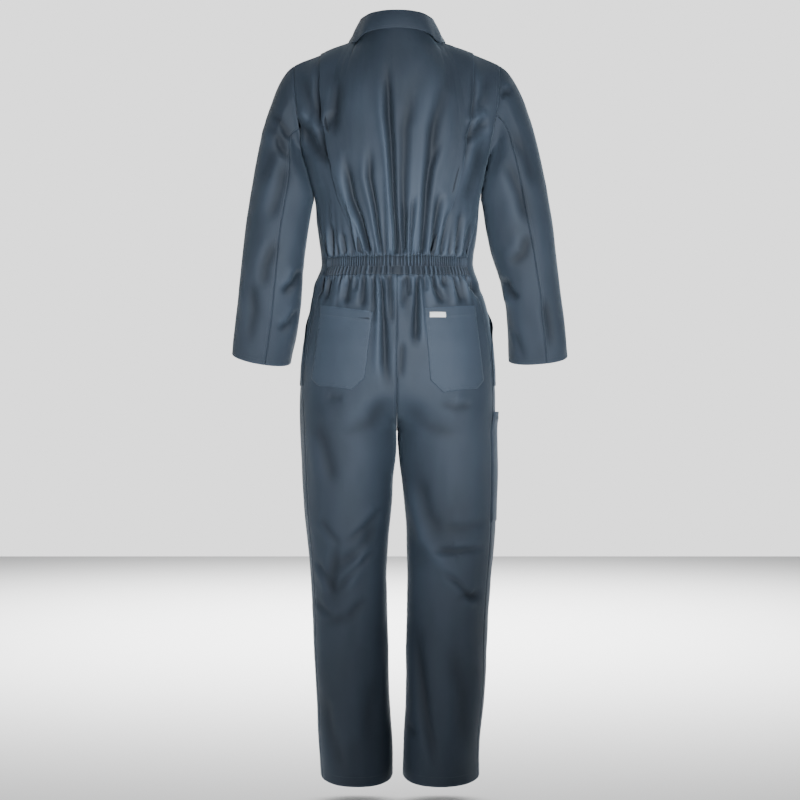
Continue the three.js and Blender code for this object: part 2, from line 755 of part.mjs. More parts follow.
function addBackLegs() {
  const panels = {};
  for (const side of Object.keys(SIDES)) {
    const place = bodyPlace(side, "back");
    const panel = new Panel(
      (across, level) => place(across * (1 - frontWrap(heightOf(level))), level),
      spread(0, 1, 12),
      lowerRows,
    ).trim({ high: TRIM, first: TRIM, last: TRIM });
    panels[side] = addHalf("leg_back_" + side, panel, side);
  }
  return panels;
}

// A casing across the back, gathered by its elastic.
function addWaistband() {
  const rows = [WAIST_TOP_Z, WAIST_STITCH_Z, WAIST_BOTTOM_Z];
  const places = {
    left: bodyPlace("left", "back", () => 0),
    right: bodyPlace("right", "back", () => 0),
  };
  const band = new Panel(
    (column, level) => {
      const share = Math.abs(column) * (1 - frontWrap(heightOf(level)));
      return places[column >= 0 ? "left" : "right"](share, level);
    },
    spread(-1, 1, 2 * GATHERS),
    rows.map(levelOf),
  ).trim({ low: TRIM, high: TRIM, first: TRIM, last: TRIM });
  const wave = (i, j) => 0.8 + (j % 2 ? 1 : -1) * GATHER_HEIGHT * (i === 2 ? 0.6 : 1);
  addWall("waistband_back", band, wave, (i, j) => wave(i, j) + CLOTH);
}

function addSleeves() {
  const rows = [0, 0.1, 0.22, 0.36, 0.52, 0.68, 0.84, ...spread(1, 2, 6)];
  for (const side of Object.keys(SIDES)) {
    const form = (angle, length) => sleeveForm(side, angle, clamp01(length / 2) * 2);
    const surface = onForm(form, side, { across: 100, out: -1 }, () => 0);
    const place = (angle, length) => {
      const cell = surface(angle, length);
      if (length > 0) return cell;
      const { normal } = armhole(side, angle);
      return { point: cell.point, normal: normal.setX(normal.x * SIDES[side]) };
    };
    const parts = {
      under: spread(HIND_SEAM[side], FORE_SEAM, 8),
      top: [...spread(FORE_SEAM - 360, 0, 9), ...spread(0, HIND_SEAM[side], 6).slice(1)],
    };
    for (const [part, angles] of Object.entries(parts)) {
      if (SIDES[side] < 0) angles.reverse();
      const panel = new Panel(place, angles, rows).trim({ first: SLEEVE_TRIM, last: SLEEVE_TRIM });
      addWall(`sleeve_${part}_${side}`, panel, 0, CLOTH);
    }
  }
}

// Where along a row of a panel its outer face is that far from the middle of the suit.
function acrossAt(panel, x, level) {
  let [low, high] = [0, 1];
  for (let i = 0; i < 30; i++) {
    const middle = (low + high) / 2;
    if (Math.abs(panel.at(middle, level, CLOTH).x) < x) low = middle;
    else high = middle;
  }
  return low;
}

// A patch on a panel. Its rows and columns are the panel's own, held inside the patch's
// bounds, with more rows where they are asked for, so that it lies on the panel's facets.
function patch(panel, bounds, extraLevels = []) {
  const within = (list, [low, high]) => list.filter((value) => value > low && value < high);
  const ordered = (list, [low, high]) =>
    [low, ...[...within(list, [low, high])].sort((a, b) => a - b), high];
  const us = ordered(panel.us, bounds.u);
  const vs = ordered([...panel.vs, ...extraLevels], bounds.v);
  const hold = (value, [low, high], index, last, step) =>
    Math.min(Math.max(value, low + index * step), high - (last - index) * step);
  const place = (u, v) => {
    const [i, j] = [us.indexOf(u), vs.indexOf(v)];
    const level = hold(v, bounds.levels(u), j, vs.length - 1, 0.003);
    const across = hold(u, bounds.across(level), i, us.length - 1, 0.002);
    return {
      point: panel.at(across, level, CLOTH + PATCH_GAP),
      normal: panel.normalAt(across, level),
    };
  };
  return new Panel(place, us, vs);
}

// Back pockets, by straight edges between their corners, with both lower corners cut.
function addBackPockets(panels) {
  for (const [side, corners] of Object.entries(BACK_POCKETS)) {
    const base = panels[side];
    const { innerTop, outerTop, innerLow, outerLow } = corners;
    const share = (x) => clamp01((x - innerTop[0]) / (outerTop[0] - innerTop[0]));
    const top = (x) => lerp(innerTop[1], outerTop[1], share(x));
    const low = (x) => lerp(innerLow[1], outerLow[1], share(x));
    const sides = (z) => {
      const down = clamp01((innerTop[1] - z) / (innerTop[1] - innerLow[1]));
      const cut = clamp01((down - (1 - POCKET_CUT)) / POCKET_CUT) * POCKET_CUT_SIDE;
      const inner = lerp(innerTop[0], innerLow[0], down);
      const outer = lerp(outerTop[0], outerLow[0], down);
      return [lerp(inner, outer, cut), lerp(outer, inner, cut)];
    };
    const xAt = (u, z) => Math.abs(base.at(u, levelOf(z), CLOTH).x);
    const bounds = {
      levels: (u) => {
        const x = xAt(u, (innerTop[1] + innerLow[1]) / 2);
        return [levelOf(low(x)), levelOf(top(x))];
      },
      across: (level) => sides(heightOf(level)).map((x) => acrossAt(base, x, level)),
    };
    const [highest, lowest] = [outerTop[1], innerLow[1]].map(levelOf);
    bounds.v = [lowest, highest];
    const widest = [highest, lowest, (highest + lowest) / 2].map(bounds.across);
    bounds.u = [Math.min(...widest.map((w) => w[0])), Math.max(...widest.map((w) => w[1]))];
    const hem = levelOf(innerTop[1] - POCKET_HEM);
    const panel = patch(base, bounds, [hem, levelOf(innerLow[1] + 24)]);
    const wall = (i) => PATCH_CLOTH + (panel.vs[i] >= hem ? HEM_EXTRA : 0);
    addWall("back_pocket_" + side, panel, 0, wall);
  }
}

// A small plain tab across the corner of the right back pocket.
function addLabel(panels) {
  const base = panels.right;
  const [x, z] = LABEL.innerTop;
  const [width, height] = LABEL.size;
  const v = [levelOf(z - height), levelOf(z)];
  const across = (level) => [x, x + width].map((edge) => acrossAt(base, edge, level));
  const bounds = { u: across(v[0]), v, levels: () => v, across };
  const under = PATCH_CLOTH + HEM_EXTRA + 0.7;
  addWall("label", patch(base, bounds), under, under + LABEL.wall, "label");
}

// The place across a front that is that share of the way round.
const frontAcross = (share, level) => share / (1 + frontWrap(heightOf(level)));

// A long narrow pocket on the outside of the right leg, caught in the side seam.
function addRulePocket(panels) {
  const { top, bottom, seamTurn, width, bulge } = RULE_POCKET;
  const v = [levelOf(bottom), levelOf(top)];
  const across = (level) => {
    const seam = 1 + frontWrap(heightOf(level)) - seamTurn;
    return [frontAcross(seam - width, level), frontAcross(seam, level)];
  };
  const bounds = { u: [across(v[0])[0], across(v[0])[1]], v, levels: () => v, across };
  const panel = patch(panels.right, bounds);
  const last = panel.us.length - 1;
  const stand = (i, j) =>
    bulge * Math.sin((Math.PI * j) / last) * (i / (panel.vs.length - 1)) ** 2;
  addWall("rule_pocket", panel, stand, (i, j) => stand(i, j) + PATCH_CLOTH);
}

// Front pockets, each with a slanted mouth towards the side seam.
function addHipPockets(panels) {
  const { top, mouthLow, bottom, innerShare, mouthTopShare, mouthLowShare, gape } = HIP_POCKET;
  for (const side of Object.keys(SIDES)) {
    const v = [levelOf(bottom), levelOf(top)];
    const opening = (level) => clamp01((top - heightOf(level)) / (top - mouthLow));
    const across = (level) => [
      frontAcross(innerShare, level),
      frontAcross(lerp(mouthTopShare, mouthLowShare, opening(level)), level),
    ];
    const bounds = { u: [across(v[1])[0], across(v[0])[1]], v, levels: () => v, across };
    const panel = patch(panels[side], bounds, spread(mouthLow, top, 10).map(levelOf));
    const last = panel.us.length - 1;
    const open = (i, j) =>
      j === last ? gape * Math.sin(Math.PI * opening(panel.vs[i])) : 0;
    addWall("hip_pocket_" + side, panel, open, (i, j) => open(i, j) + PATCH_CLOTH);
  }
}

// The placket lies over the middle of both fronts, and its studs stand on it.
function addPlacket(panels) {
  const { halfWidth, top, bottom, wall } = PLACKET;
  const place = (x, level) => {
    const panel = panels[x >= 0 ? "left" : "right"];
    const across = x === 0 ? 0 : acrossAt(panel, Math.abs(x), level);
    const point = panel.at(across, level, CLOTH);
    const normal = panel.normalAt(across, level);
    if (x === 0) [point.x, normal.x] = [0, 0];
    return { point, normal: normal.normalize() };
  };
  const within = (level) => level > levelOf(bottom) && level < top;
  const rows = [levelOf(bottom), ...[...lowerRows, ...upperRows].filter(within), top];
  const strip = new Panel(place, spread(-halfWidth, halfWidth, 4), rows);
  addWall("placket", strip, PATCH_GAP, PATCH_GAP + wall);
  for (let i = 0; i < STUD.count; i++) {
    const level = lerp(STUD.first, STUD.last, i / (STUD.count - 1));
    const normal = strip.normalAt(0, level);
    addStud("stud_" + (i + 1), strip.at(0, level, PATCH_GAP + wall + STUD.gap), normal);
  }
}

// A press stud's cap.
function addStud(name, point, normal) {
  const { radius, height, rim } = STUD;
  const profile = [
    [0, 0],
    [radius, 0],
    [radius, rim],
    [radius * 0.62, height * 0.86],
    [0, height],
  ].map(([x, y]) => new THREE.Vector2(x, y));
  const mesh = add(name, new THREE.LatheGeometry(profile, 12), "stud");
  mesh.position.copy(point);
  mesh.quaternion.setFromUnitVectors(vec(0, 1, 0), normal);
}

// The collar: a stand that rises from the neck seam, turns over and falls.
function addCollar() {
  const line = Object.fromEntries(
    Object.keys(COLLAR_LINE[0]).map((name) => [name, curve(COLLAR_LINE, "angle", name)]),
  );
  const last = COLLAR_LINE.at(-1).angle;
  const { wall, turn, lift, frontLift } = COLLAR;
  const ribbon = (angle) => {
    const size = Math.abs(angle);
    const sign = Math.sign(angle) || 1;
    const neck = neckPoint(size);
    const level = vec(neck.x, neck.y - NECK_MIDDLE_Y, 0).normalize();
    const seam = neck.clone().add(vec(0, 0, lift + frontLift * smooth((size - 60) / 60)));
    const foot = neck.clone().addScaledVector(level, line.standOut(size));
    const roll = foot.clone().setZ(line.rollZ(size) - turn);
    const hub = roll.clone().addScaledVector(level, turn);
    const edge = vec(line.edgeX(size), line.edgeY(size), line.edgeZ(size));
    const path = [seam, seam.clone().lerp(roll, 0.5)];
    for (const bend of [0, 45, 90, 135, 180]) {
      path.push(hub.clone().addScaledVector(level, -turn * Math.cos(rad(bend)))
        .add(vec(0, 0, turn * Math.sin(rad(bend)))));
    }
    const over = path.at(-1);
    const swell = level.clone().multiplyScalar(2.5);
    path.push(over.clone().lerp(edge, 0.35).add(swell), over.clone().lerp(edge, 0.7).add(swell));
    path.push(edge);
    return path.map((p) => vec(p.x * sign, p.y, p.z));
  };
  const angles = spread(-last, last, 30);
  const paths = angles.map(ribbon);
  const faces = [1, -1].map((way) =>
    paths.map((path, i) =>
      path.map((point, j) => {
        const along = path[Math.min(j + 1, path.length - 1)].clone()
          .sub(path[Math.max(j - 1, 0)]);
        const round = paths[Math.min(i + 1, paths.length - 1)][j].clone()
          .sub(paths[Math.max(i - 1, 0)][j]);
        const out = along.cross(round).normalize();
        return point.clone().addScaledVector(out, (way * wall) / 2);
      }),
    ),
  );
  add("collar", shell(...faces));
}

addBack();
addWaistband();
addSleeves();
addCollar();
const fronts = addFronts();
addHipPockets(fronts);
addRulePocket(fronts);
addPlacket(fronts);
const backLegs = addBackLegs();
addBackPockets(backLegs);
addLabel(backLegs);

export default suit;
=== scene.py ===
"""A work boiler suit, filled out as if it were worn, with nobody in it.

Sizes are in millimetres, as a maker cuts cloth, and the finished meshes are in metres, in the
frame of the suit's solids: +Z up, the front facing -Y, the wearer's left on +X, and the
origin in the middle of the neck, level with the shoulders.
"""

import logging
import math
from dataclasses import dataclass, field
from enum import Enum
from typing import Any, Callable, Sequence

import bpy
import numpy as np
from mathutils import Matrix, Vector

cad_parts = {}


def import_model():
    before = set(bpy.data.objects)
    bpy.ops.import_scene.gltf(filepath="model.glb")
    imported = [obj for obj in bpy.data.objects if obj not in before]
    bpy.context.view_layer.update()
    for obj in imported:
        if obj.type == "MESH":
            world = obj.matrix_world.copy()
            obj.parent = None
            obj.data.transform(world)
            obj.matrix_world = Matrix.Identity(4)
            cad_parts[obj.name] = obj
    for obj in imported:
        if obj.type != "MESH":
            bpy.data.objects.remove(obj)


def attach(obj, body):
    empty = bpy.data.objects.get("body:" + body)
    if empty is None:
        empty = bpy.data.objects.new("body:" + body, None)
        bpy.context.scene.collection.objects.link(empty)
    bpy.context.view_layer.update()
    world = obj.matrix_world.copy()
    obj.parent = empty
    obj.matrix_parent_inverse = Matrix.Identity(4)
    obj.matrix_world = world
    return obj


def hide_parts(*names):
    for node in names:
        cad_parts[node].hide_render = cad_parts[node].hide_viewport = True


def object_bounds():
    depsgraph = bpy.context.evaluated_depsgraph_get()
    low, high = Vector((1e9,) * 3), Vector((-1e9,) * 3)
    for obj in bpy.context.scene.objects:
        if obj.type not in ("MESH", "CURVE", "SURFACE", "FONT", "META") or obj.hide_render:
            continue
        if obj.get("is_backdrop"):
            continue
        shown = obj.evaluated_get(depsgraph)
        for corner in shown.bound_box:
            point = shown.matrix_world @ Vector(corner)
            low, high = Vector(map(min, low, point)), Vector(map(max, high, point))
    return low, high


Array = np.ndarray
Reader = Callable[[Array], Array]
Surface = Callable[[Array, Array], tuple[Array, Array]]
Insets = tuple[float, ...]
Triple = tuple[float, float, float]
Tree = bpy.types.NodeTree
Piece = bpy.types.Object
Material = bpy.types.Material

LOG = logging.getLogger("boiler_suit")

METRE = 1000.0  # millimetres
CLOTH = 1.6  # wall of one layer
BODY_POWER = 2 / 2.4  # squareness of a body section
TUBE_POWER = 2 / 2.15  # squareness of a leg or a sleeve
ARMPIT_Z = -279.0
WAIST_TOP_Z = -484.0
WAIST_STITCH_Z = -507.0
WAIST_BOTTOM_Z = -525.0
CROTCH_START_Z = -760.0
CROTCH_Z = -872.0
SEAT_FULLNESS = 0.55
HEM_Z = -1640.0
HEM_RISE_Z = -1500.0
HEM_DROP = 15.0
NECK_HALF_WIDTH = 76.0
NECK_MIDDLE_Y = 2.0
NECK_BACK = 84.0
NECK_FRONT = 86.0
NECK_SHARE = 0.36
NECK_EASE = 0.14  # share to each side over which the corner of the neck is eased
HIGH_SHOULDER_Z = 8.0
SHOULDER_TIP = (230.0, 0.0, -50.0)
LEVEL = ARMPIT_Z - WAIST_TOP_Z
BACK_ARC = 222.0  # half the back's girth at the waist
SEEN_WALL = 0.9  # thickness of the cloth that is drawn
PATCH_STAND = CLOTH + 2.4  # from the form to the outer face of a patch
FELLED = (2.0, 7.5)  # rows of stitches beside a seam that is sewn down
PATCHED = (2.2, 7.0)  # and round a patch
HALF_SEAM = 0.15  # half the gap at a seam
FLAT_PAINTED_SHADING = 0.55  # painted shading of cloth without folds, a middle tone between painted shade and highlight
NUDGE = 0.004  # share over which a slope is read
LEG_CREASES_Z = -900.0  # the creases are shallower below
ARM_Z = -305.0  # height where an arm hangs against the side
ARM_BULGE = 4.0  # how far the side stands out to it
PATCH_CREST = 3.4  # a patch lies on the rounded parts of the cloth and catches the light
PLEAT_RISE = CLOTH + 0.5
PLEAT_PUFF = 2.2
VIEW_DISTANCE = 4500.0  # from the photographer's eye to the middle of the suit
VIEW_X = -7.0
VIEW_Z = -801.0


class Side(Enum):
    """A side of the wearer, by the sign of its X."""

    LEFT = 1
    RIGHT = -1

    @property
    def word(self) -> str:
        """The side's name in a piece's name."""
        return self.name.lower()


class Hold(Enum):
    """How a piece of cloth is held."""

    HUNG = "hung"
    GATHERED = "gathered"
    FOLDED = "folded"


def lerp(a: Any, b: Any, t: Any) -> Any:
    """The value that share t of the way from a to b."""
    return a + (b - a) * t


def smooth(t: Any) -> Array:
    """A soft step from 0 to 1."""
    held = np.clip(t, 0.0, 1.0)
    return held * held * (3 - 2 * held)


def bell(away: Array, reach: float) -> Array:
    """A soft bump, 1 at a place and nearly 0 from twice its reach."""
    return np.exp(-((away / reach) ** 2))


def hump(share: Array) -> Array:
    """An arch over a stretch: 0 at its ends and 1 in its middle."""
    return np.sin(math.pi * share)


def power(s: Array, p: float) -> Array:
    """A power that keeps the sign."""
    return np.sign(s) * np.abs(s) ** p


def xyz(x: Any, y: Any, z: Any) -> Array:
    """Points from coordinates that may be arrays or single numbers."""
    return np.stack(np.broadcast_arrays(x, y, z), axis=-1).astype(float)


def unit(v: Array) -> Array:
    """Vectors at length 1."""
    return v / np.maximum(np.linalg.norm(v, axis=-1, keepdims=True), 1e-9)


def dot(a: Array, b: Array) -> Array:
    """The dot products of two sets of vectors, as a column."""
    return np.sum(a * b, axis=-1, keepdims=True)


def lengths_along(points: Array, axis: int = 0) -> Array:
    """How far each point is along its line, from 0."""
    steps = np.linalg.norm(np.diff(points, axis=axis), axis=-1)
    run = np.cumsum(steps, axis=axis)
    return np.concatenate([np.zeros_like(np.take(run, [0], axis)), run], axis=axis)


def read_along(at: Array, run: Array, points: Array) -> Array:
    """Points of a line at lengths along it."""
    return np.stack([np.interp(at, run, points[:, k]) for k in range(3)], -1)


def bezier(ends: Sequence[Array], t: Array) -> Array:
    """A point on a cubic curve.

    Args:
        ends: the start, its handle, the end's handle and the end.
        t: the share of the way along.
    """
    a, b, c, d = ends
    s = np.asarray(t)[..., None]
    r = 1 - s
    return r**3 * a + 3 * r * r * s * b + 3 * r * s * s * c + s**3 * d


def solved(read: Reader, target: Any, low: Array, high: Array) -> Array:
    """Where a rising function reaches a value, by halving.

    Args:
        read: the function.
        target: the value, one number or one per place.
        low: where each search starts.
        high: where it ends.
    """
    for _ in range(26):
        middle = (low + high) / 2
        inside = read(middle) < target
        low, high = np.where(inside, middle, low), np.where(inside, high, middle)
    return low


def level_of(z: Any) -> Any:
    """The level at a height: 0 is the waist, 1 the armpit and 2 the upper edge."""
    return (z - WAIST_TOP_Z) / LEVEL


def from_casing(z: Array) -> Array:
    """How far a height is above or below the elastic casing."""
    return np.maximum(np.maximum(z - WAIST_TOP_Z, WAIST_BOTTOM_Z - z), 0.0)


def height_of(level: Any) -> Any:
    """The height at a level below the armpit."""
    return WAIST_TOP_Z + level * LEVEL


class Table:
    """Measurements, one row per place."""

    def __init__(self, columns: tuple[str, ...], *rows: tuple[float, ...]) -> None:
        """Keeps the table.

        Args:
            columns: what each column measures; the first one drives the rest.
            rows: the measurements.
        """
        self.columns, self.rows = columns, rows

    def curve(self, value: str) -> Reader:
        """A function that reads a smooth curve through one column against the first."""
        rows = np.array(sorted(self.rows), dtype=float)
        xs, ys = rows[:, 0], rows[:, self.columns.index(value)]
        last = len(xs) - 1
        chord = np.diff(ys) / np.diff(xs)
        at = np.arange(last + 1)
        slope = (chord[np.maximum(at - 1, 0)] + chord[np.minimum(at, last - 1)]) / 2

        def read(x: Array) -> Array:
            held = np.clip(x, xs[0], xs[-1])
            i = np.clip(np.searchsorted(xs, held) - 1, 0, last - 1)
            width = xs[i + 1] - xs[i]
            t = (held - xs[i]) / width
            start = ys[i] + t * width * slope[i]
            end = ys[i + 1] - (1 - t) * width * slope[i + 1]
            return lerp(start, end, smooth(t))

        return read


BODY = Table(
    ("z", "left", "right", "back", "front"),
    (-279, 203, 199, 142, 138),
    (-313, 192, 192, 141, 138),
    (-350, 183, 187, 137, 135),
    (-400, 179, 183, 129, 129),
    (-450, 174, 177, 118, 121),
    (-484, 170, 172, 112, 116),
    (-507, 171, 173, 112, 116),
    (-525, 178, 179, 116, 118),
    (-560, 187, 190, 126, 122),
    (-600, 195, 202, 136, 124),
    (-650, 203, 210, 144, 124),
    (-700, 210, 216, 147, 122),
    (-760, 215, 220, 145, 120),
    (-820, 217, 222, 138, 118),
    (-872, 217, 222, 128, 116),
)
LEGS = Table(
    ("z", "left_outer", "left_inner", "right_outer", "right_inner", "back", "front", "y"),
    (-700, 210, 0, 216, 0, 135, 120, 0),
    (-872, 217, 0, 222, 0, 128, 116, 0),
    (-918, 215, 1, 223, 3, 124, 113, 0),
    (-972, 213, 8, 223, 10, 119, 110, 1),
    (-1026, 210, 10, 222, 17, 114, 107, 2),
    (-1134, 199, 19, 218, 21, 106, 102, 3),
    (-1242, 192, 21, 209, 21, 100, 98, 2),
    (-1350, 188, 19, 203, 21, 96, 95, 0),
    (-1458, 183, 17, 198, 19, 93, 92, -2),
    (-1566, 174, 10, 187, 15, 91, 89, -3),
    (-1655, 170, 8, 184, 12, 90, 88, -3),
)
SLEEVES = Table(
    ("z", "left_outer", "left_inner", "right_outer", "right_inner", "y", "depth"),
    (-350, 329, 189, 340, 190, 2, 70),
    (-440, 342, 202, 354, 206, 4, 68),
    (-530, 354, 212, 366, 234, -8, 62),
    (-620, 366, 223, 378, 249, -32, 54),
    (-705, 378, 240, 390, 254, -60, 46),
)
NECKLINE = Table(
    ("angle", "z"),
    (0, 25), (45, 21), (90, HIGH_SHOULDER_Z), (135, -30), (165, -64), (180, -72),
)
FRONT_WRAP = Table(
    ("z", "share"),
    (-279, 0), (-330, 0.06), (-400, 0.18), (-484, 0.3), (-525, 0.3), (-600, 0.24), (-700, 0.2),
    (-872, 0.17), (-1100, 0.17), (-1655, 0.12),
)
PLEAT_EDGE = Table(
    ("z", "x"),
    (-24, 170), (-70, 169), (-146, 166), (-215, 156), (-283, 143), (-333, 131), (-376, 119),
    (-425, 100), (-484, 82),
)
COLLAR_LINE = Table(
    ("angle", "roll_z", "stand_out", "edge_x", "edge_y", "edge_z"),
    (0, 60, -3, 0, 98, 19),
    (30, 59, -2, 50, 89, 15),
    (60, 54, 1, 87, 56, 8.5),
    (90, 44, 3, 104, 4, 6),
    (120, 22, 4, 106, -46, -6),
    (150, -16, 4, 88, -96, -62),
    (174, -52, 3, 62, -119, -128),
)


class SoftNoise:
    """A smooth random field in space, the same at each run."""

    def __init__(self, seed: int, cells: int = 24) -> None:
        """Fills the lattice.

        Args:
            seed: the lattice's seed.
            cells: lattice points each way before the field repeats.
        """
        self.cells = cells
        self.lattice = np.random.default_rng(seed).uniform(-1, 1, (cells, cells, cells))

    def at(self, points: Array, scale: Triple) -> Array:
        """The field at points.

        Args:
            points: places in millimetres.
            scale: size of one lattice cell along X, Y and Z.

        Returns:
            Values from -1 to 1.
        """
        place = points / np.array(scale) + 100.0
        base = np.floor(place).astype(int)
        t = smooth(place - base)
        total = np.zeros(points.shape[:-1])
        for corner in np.ndindex(2, 2, 2):
            weight = np.ones(points.shape[:-1])
            index = []
            for axis, step in enumerate(corner):
                share = t[..., axis]
                weight = weight * (share if step else 1 - share)
                index.append((base[..., axis] + step) % self.cells)
            total += weight * self.lattice[tuple(index)]
        return total


@dataclass(frozen=True)
class Crease:
    """A fold along a line that is seen from the back or the front.

    Attributes:
        line: its points, X and Z as the eye sees them.
        width: how far to each side it reaches.
        depth: how far it moves the cloth out; a trough is negative.
        lean: the ridge beside a trough, as a share of its depth, on +X if positive.
        from_band: whether its start runs on into the elastic casing.
        to_band: whether its end does.
    """

    FADE = 0.3  # share of its length over which a free end fades
    BAND_WIDTHS = (0.48, 1.15)  # of its width, at the casing and far from it
    BAND_STRENGTHS = (1.2, 0.75)  # of its depth, in the same order
    RIDGE_AWAY = 1.7  # widths from a trough to the ridge beside it
    RIDGE_WIDTH = 1.1  # widths of that ridge

    line: tuple[tuple[float, float], ...]
    width: float
    depth: float
    lean: float = 0.0
    from_band: bool = False
    to_band: bool = False

    def height(self, x: Array, z: Array) -> Array:
        """How far the crease moves the cloth out, in millimetres, at places in the view."""
        reach = 4 * self.width
        ends = np.array(self.line)
        near = (x > ends[:, 0].min() - reach) & (x < ends[:, 0].max() + reach)
        near &= (z > ends[:, 1].min() - reach) & (z < ends[:, 1].max() + reach)
        out = np.zeros(x.shape)
        if not near.any():
            return out
        px, pz = x[near], z[near]
        steps = np.diff(ends, axis=0)
        lengths = np.hypot(steps[:, 0], steps[:, 1])
        run = np.concatenate([[0.0], np.cumsum(lengths)])
        best = np.full(px.shape, np.inf)
        across = np.zeros(px.shape)
        along = np.zeros(px.shape)
        for (ax, az), (dx, dz), length, before in zip(ends, steps, lengths, run):
            t = np.clip(((px - ax) * dx + (pz - az) * dz) / length**2, 0, 1)
            away = np.hypot(px - ax - t * dx, pz - az - t * dz)
            side = np.sign(((px - ax) * dz - (pz - az) * dx) * np.sign(dz or 1.0))
            nearer = away < best
            best = np.where(nearer, away, best)
            across = np.where(nearer, away * side, across)
            along = np.where(nearer, (before + t * length) / run[-1], along)
        fade = np.ones(px.shape)
        if not self.from_band:
            fade = fade * smooth(along / self.FADE)
        if not self.to_band:
            fade = fade * smooth((1 - along) / self.FADE)
        width, strength = self.width, 1.0
        if self.from_band or self.to_band:
            spread_out = smooth(along if self.from_band else 1 - along)
            width = self.width * lerp(*self.BAND_WIDTHS, spread_out)
            strength = lerp(*self.BAND_STRENGTHS, spread_out)
        shape = bell(across, width)
        beside = across - np.sign(self.lean) * self.RIDGE_AWAY * width
        shape -= abs(self.lean) * bell(beside, self.RIDGE_WIDTH * width)
        out[near] = self.depth * strength * shape * fade
        return out


def creases(*rows: tuple, **ends: bool) -> tuple[Crease, ...]:
    """A table of creases.

    Args:
        rows: the line, width and depth of each, and its lean where it has one.
        ends: which end of them all runs into the casing.
    """
    return tuple(Crease(*row, **ends) for row in rows)


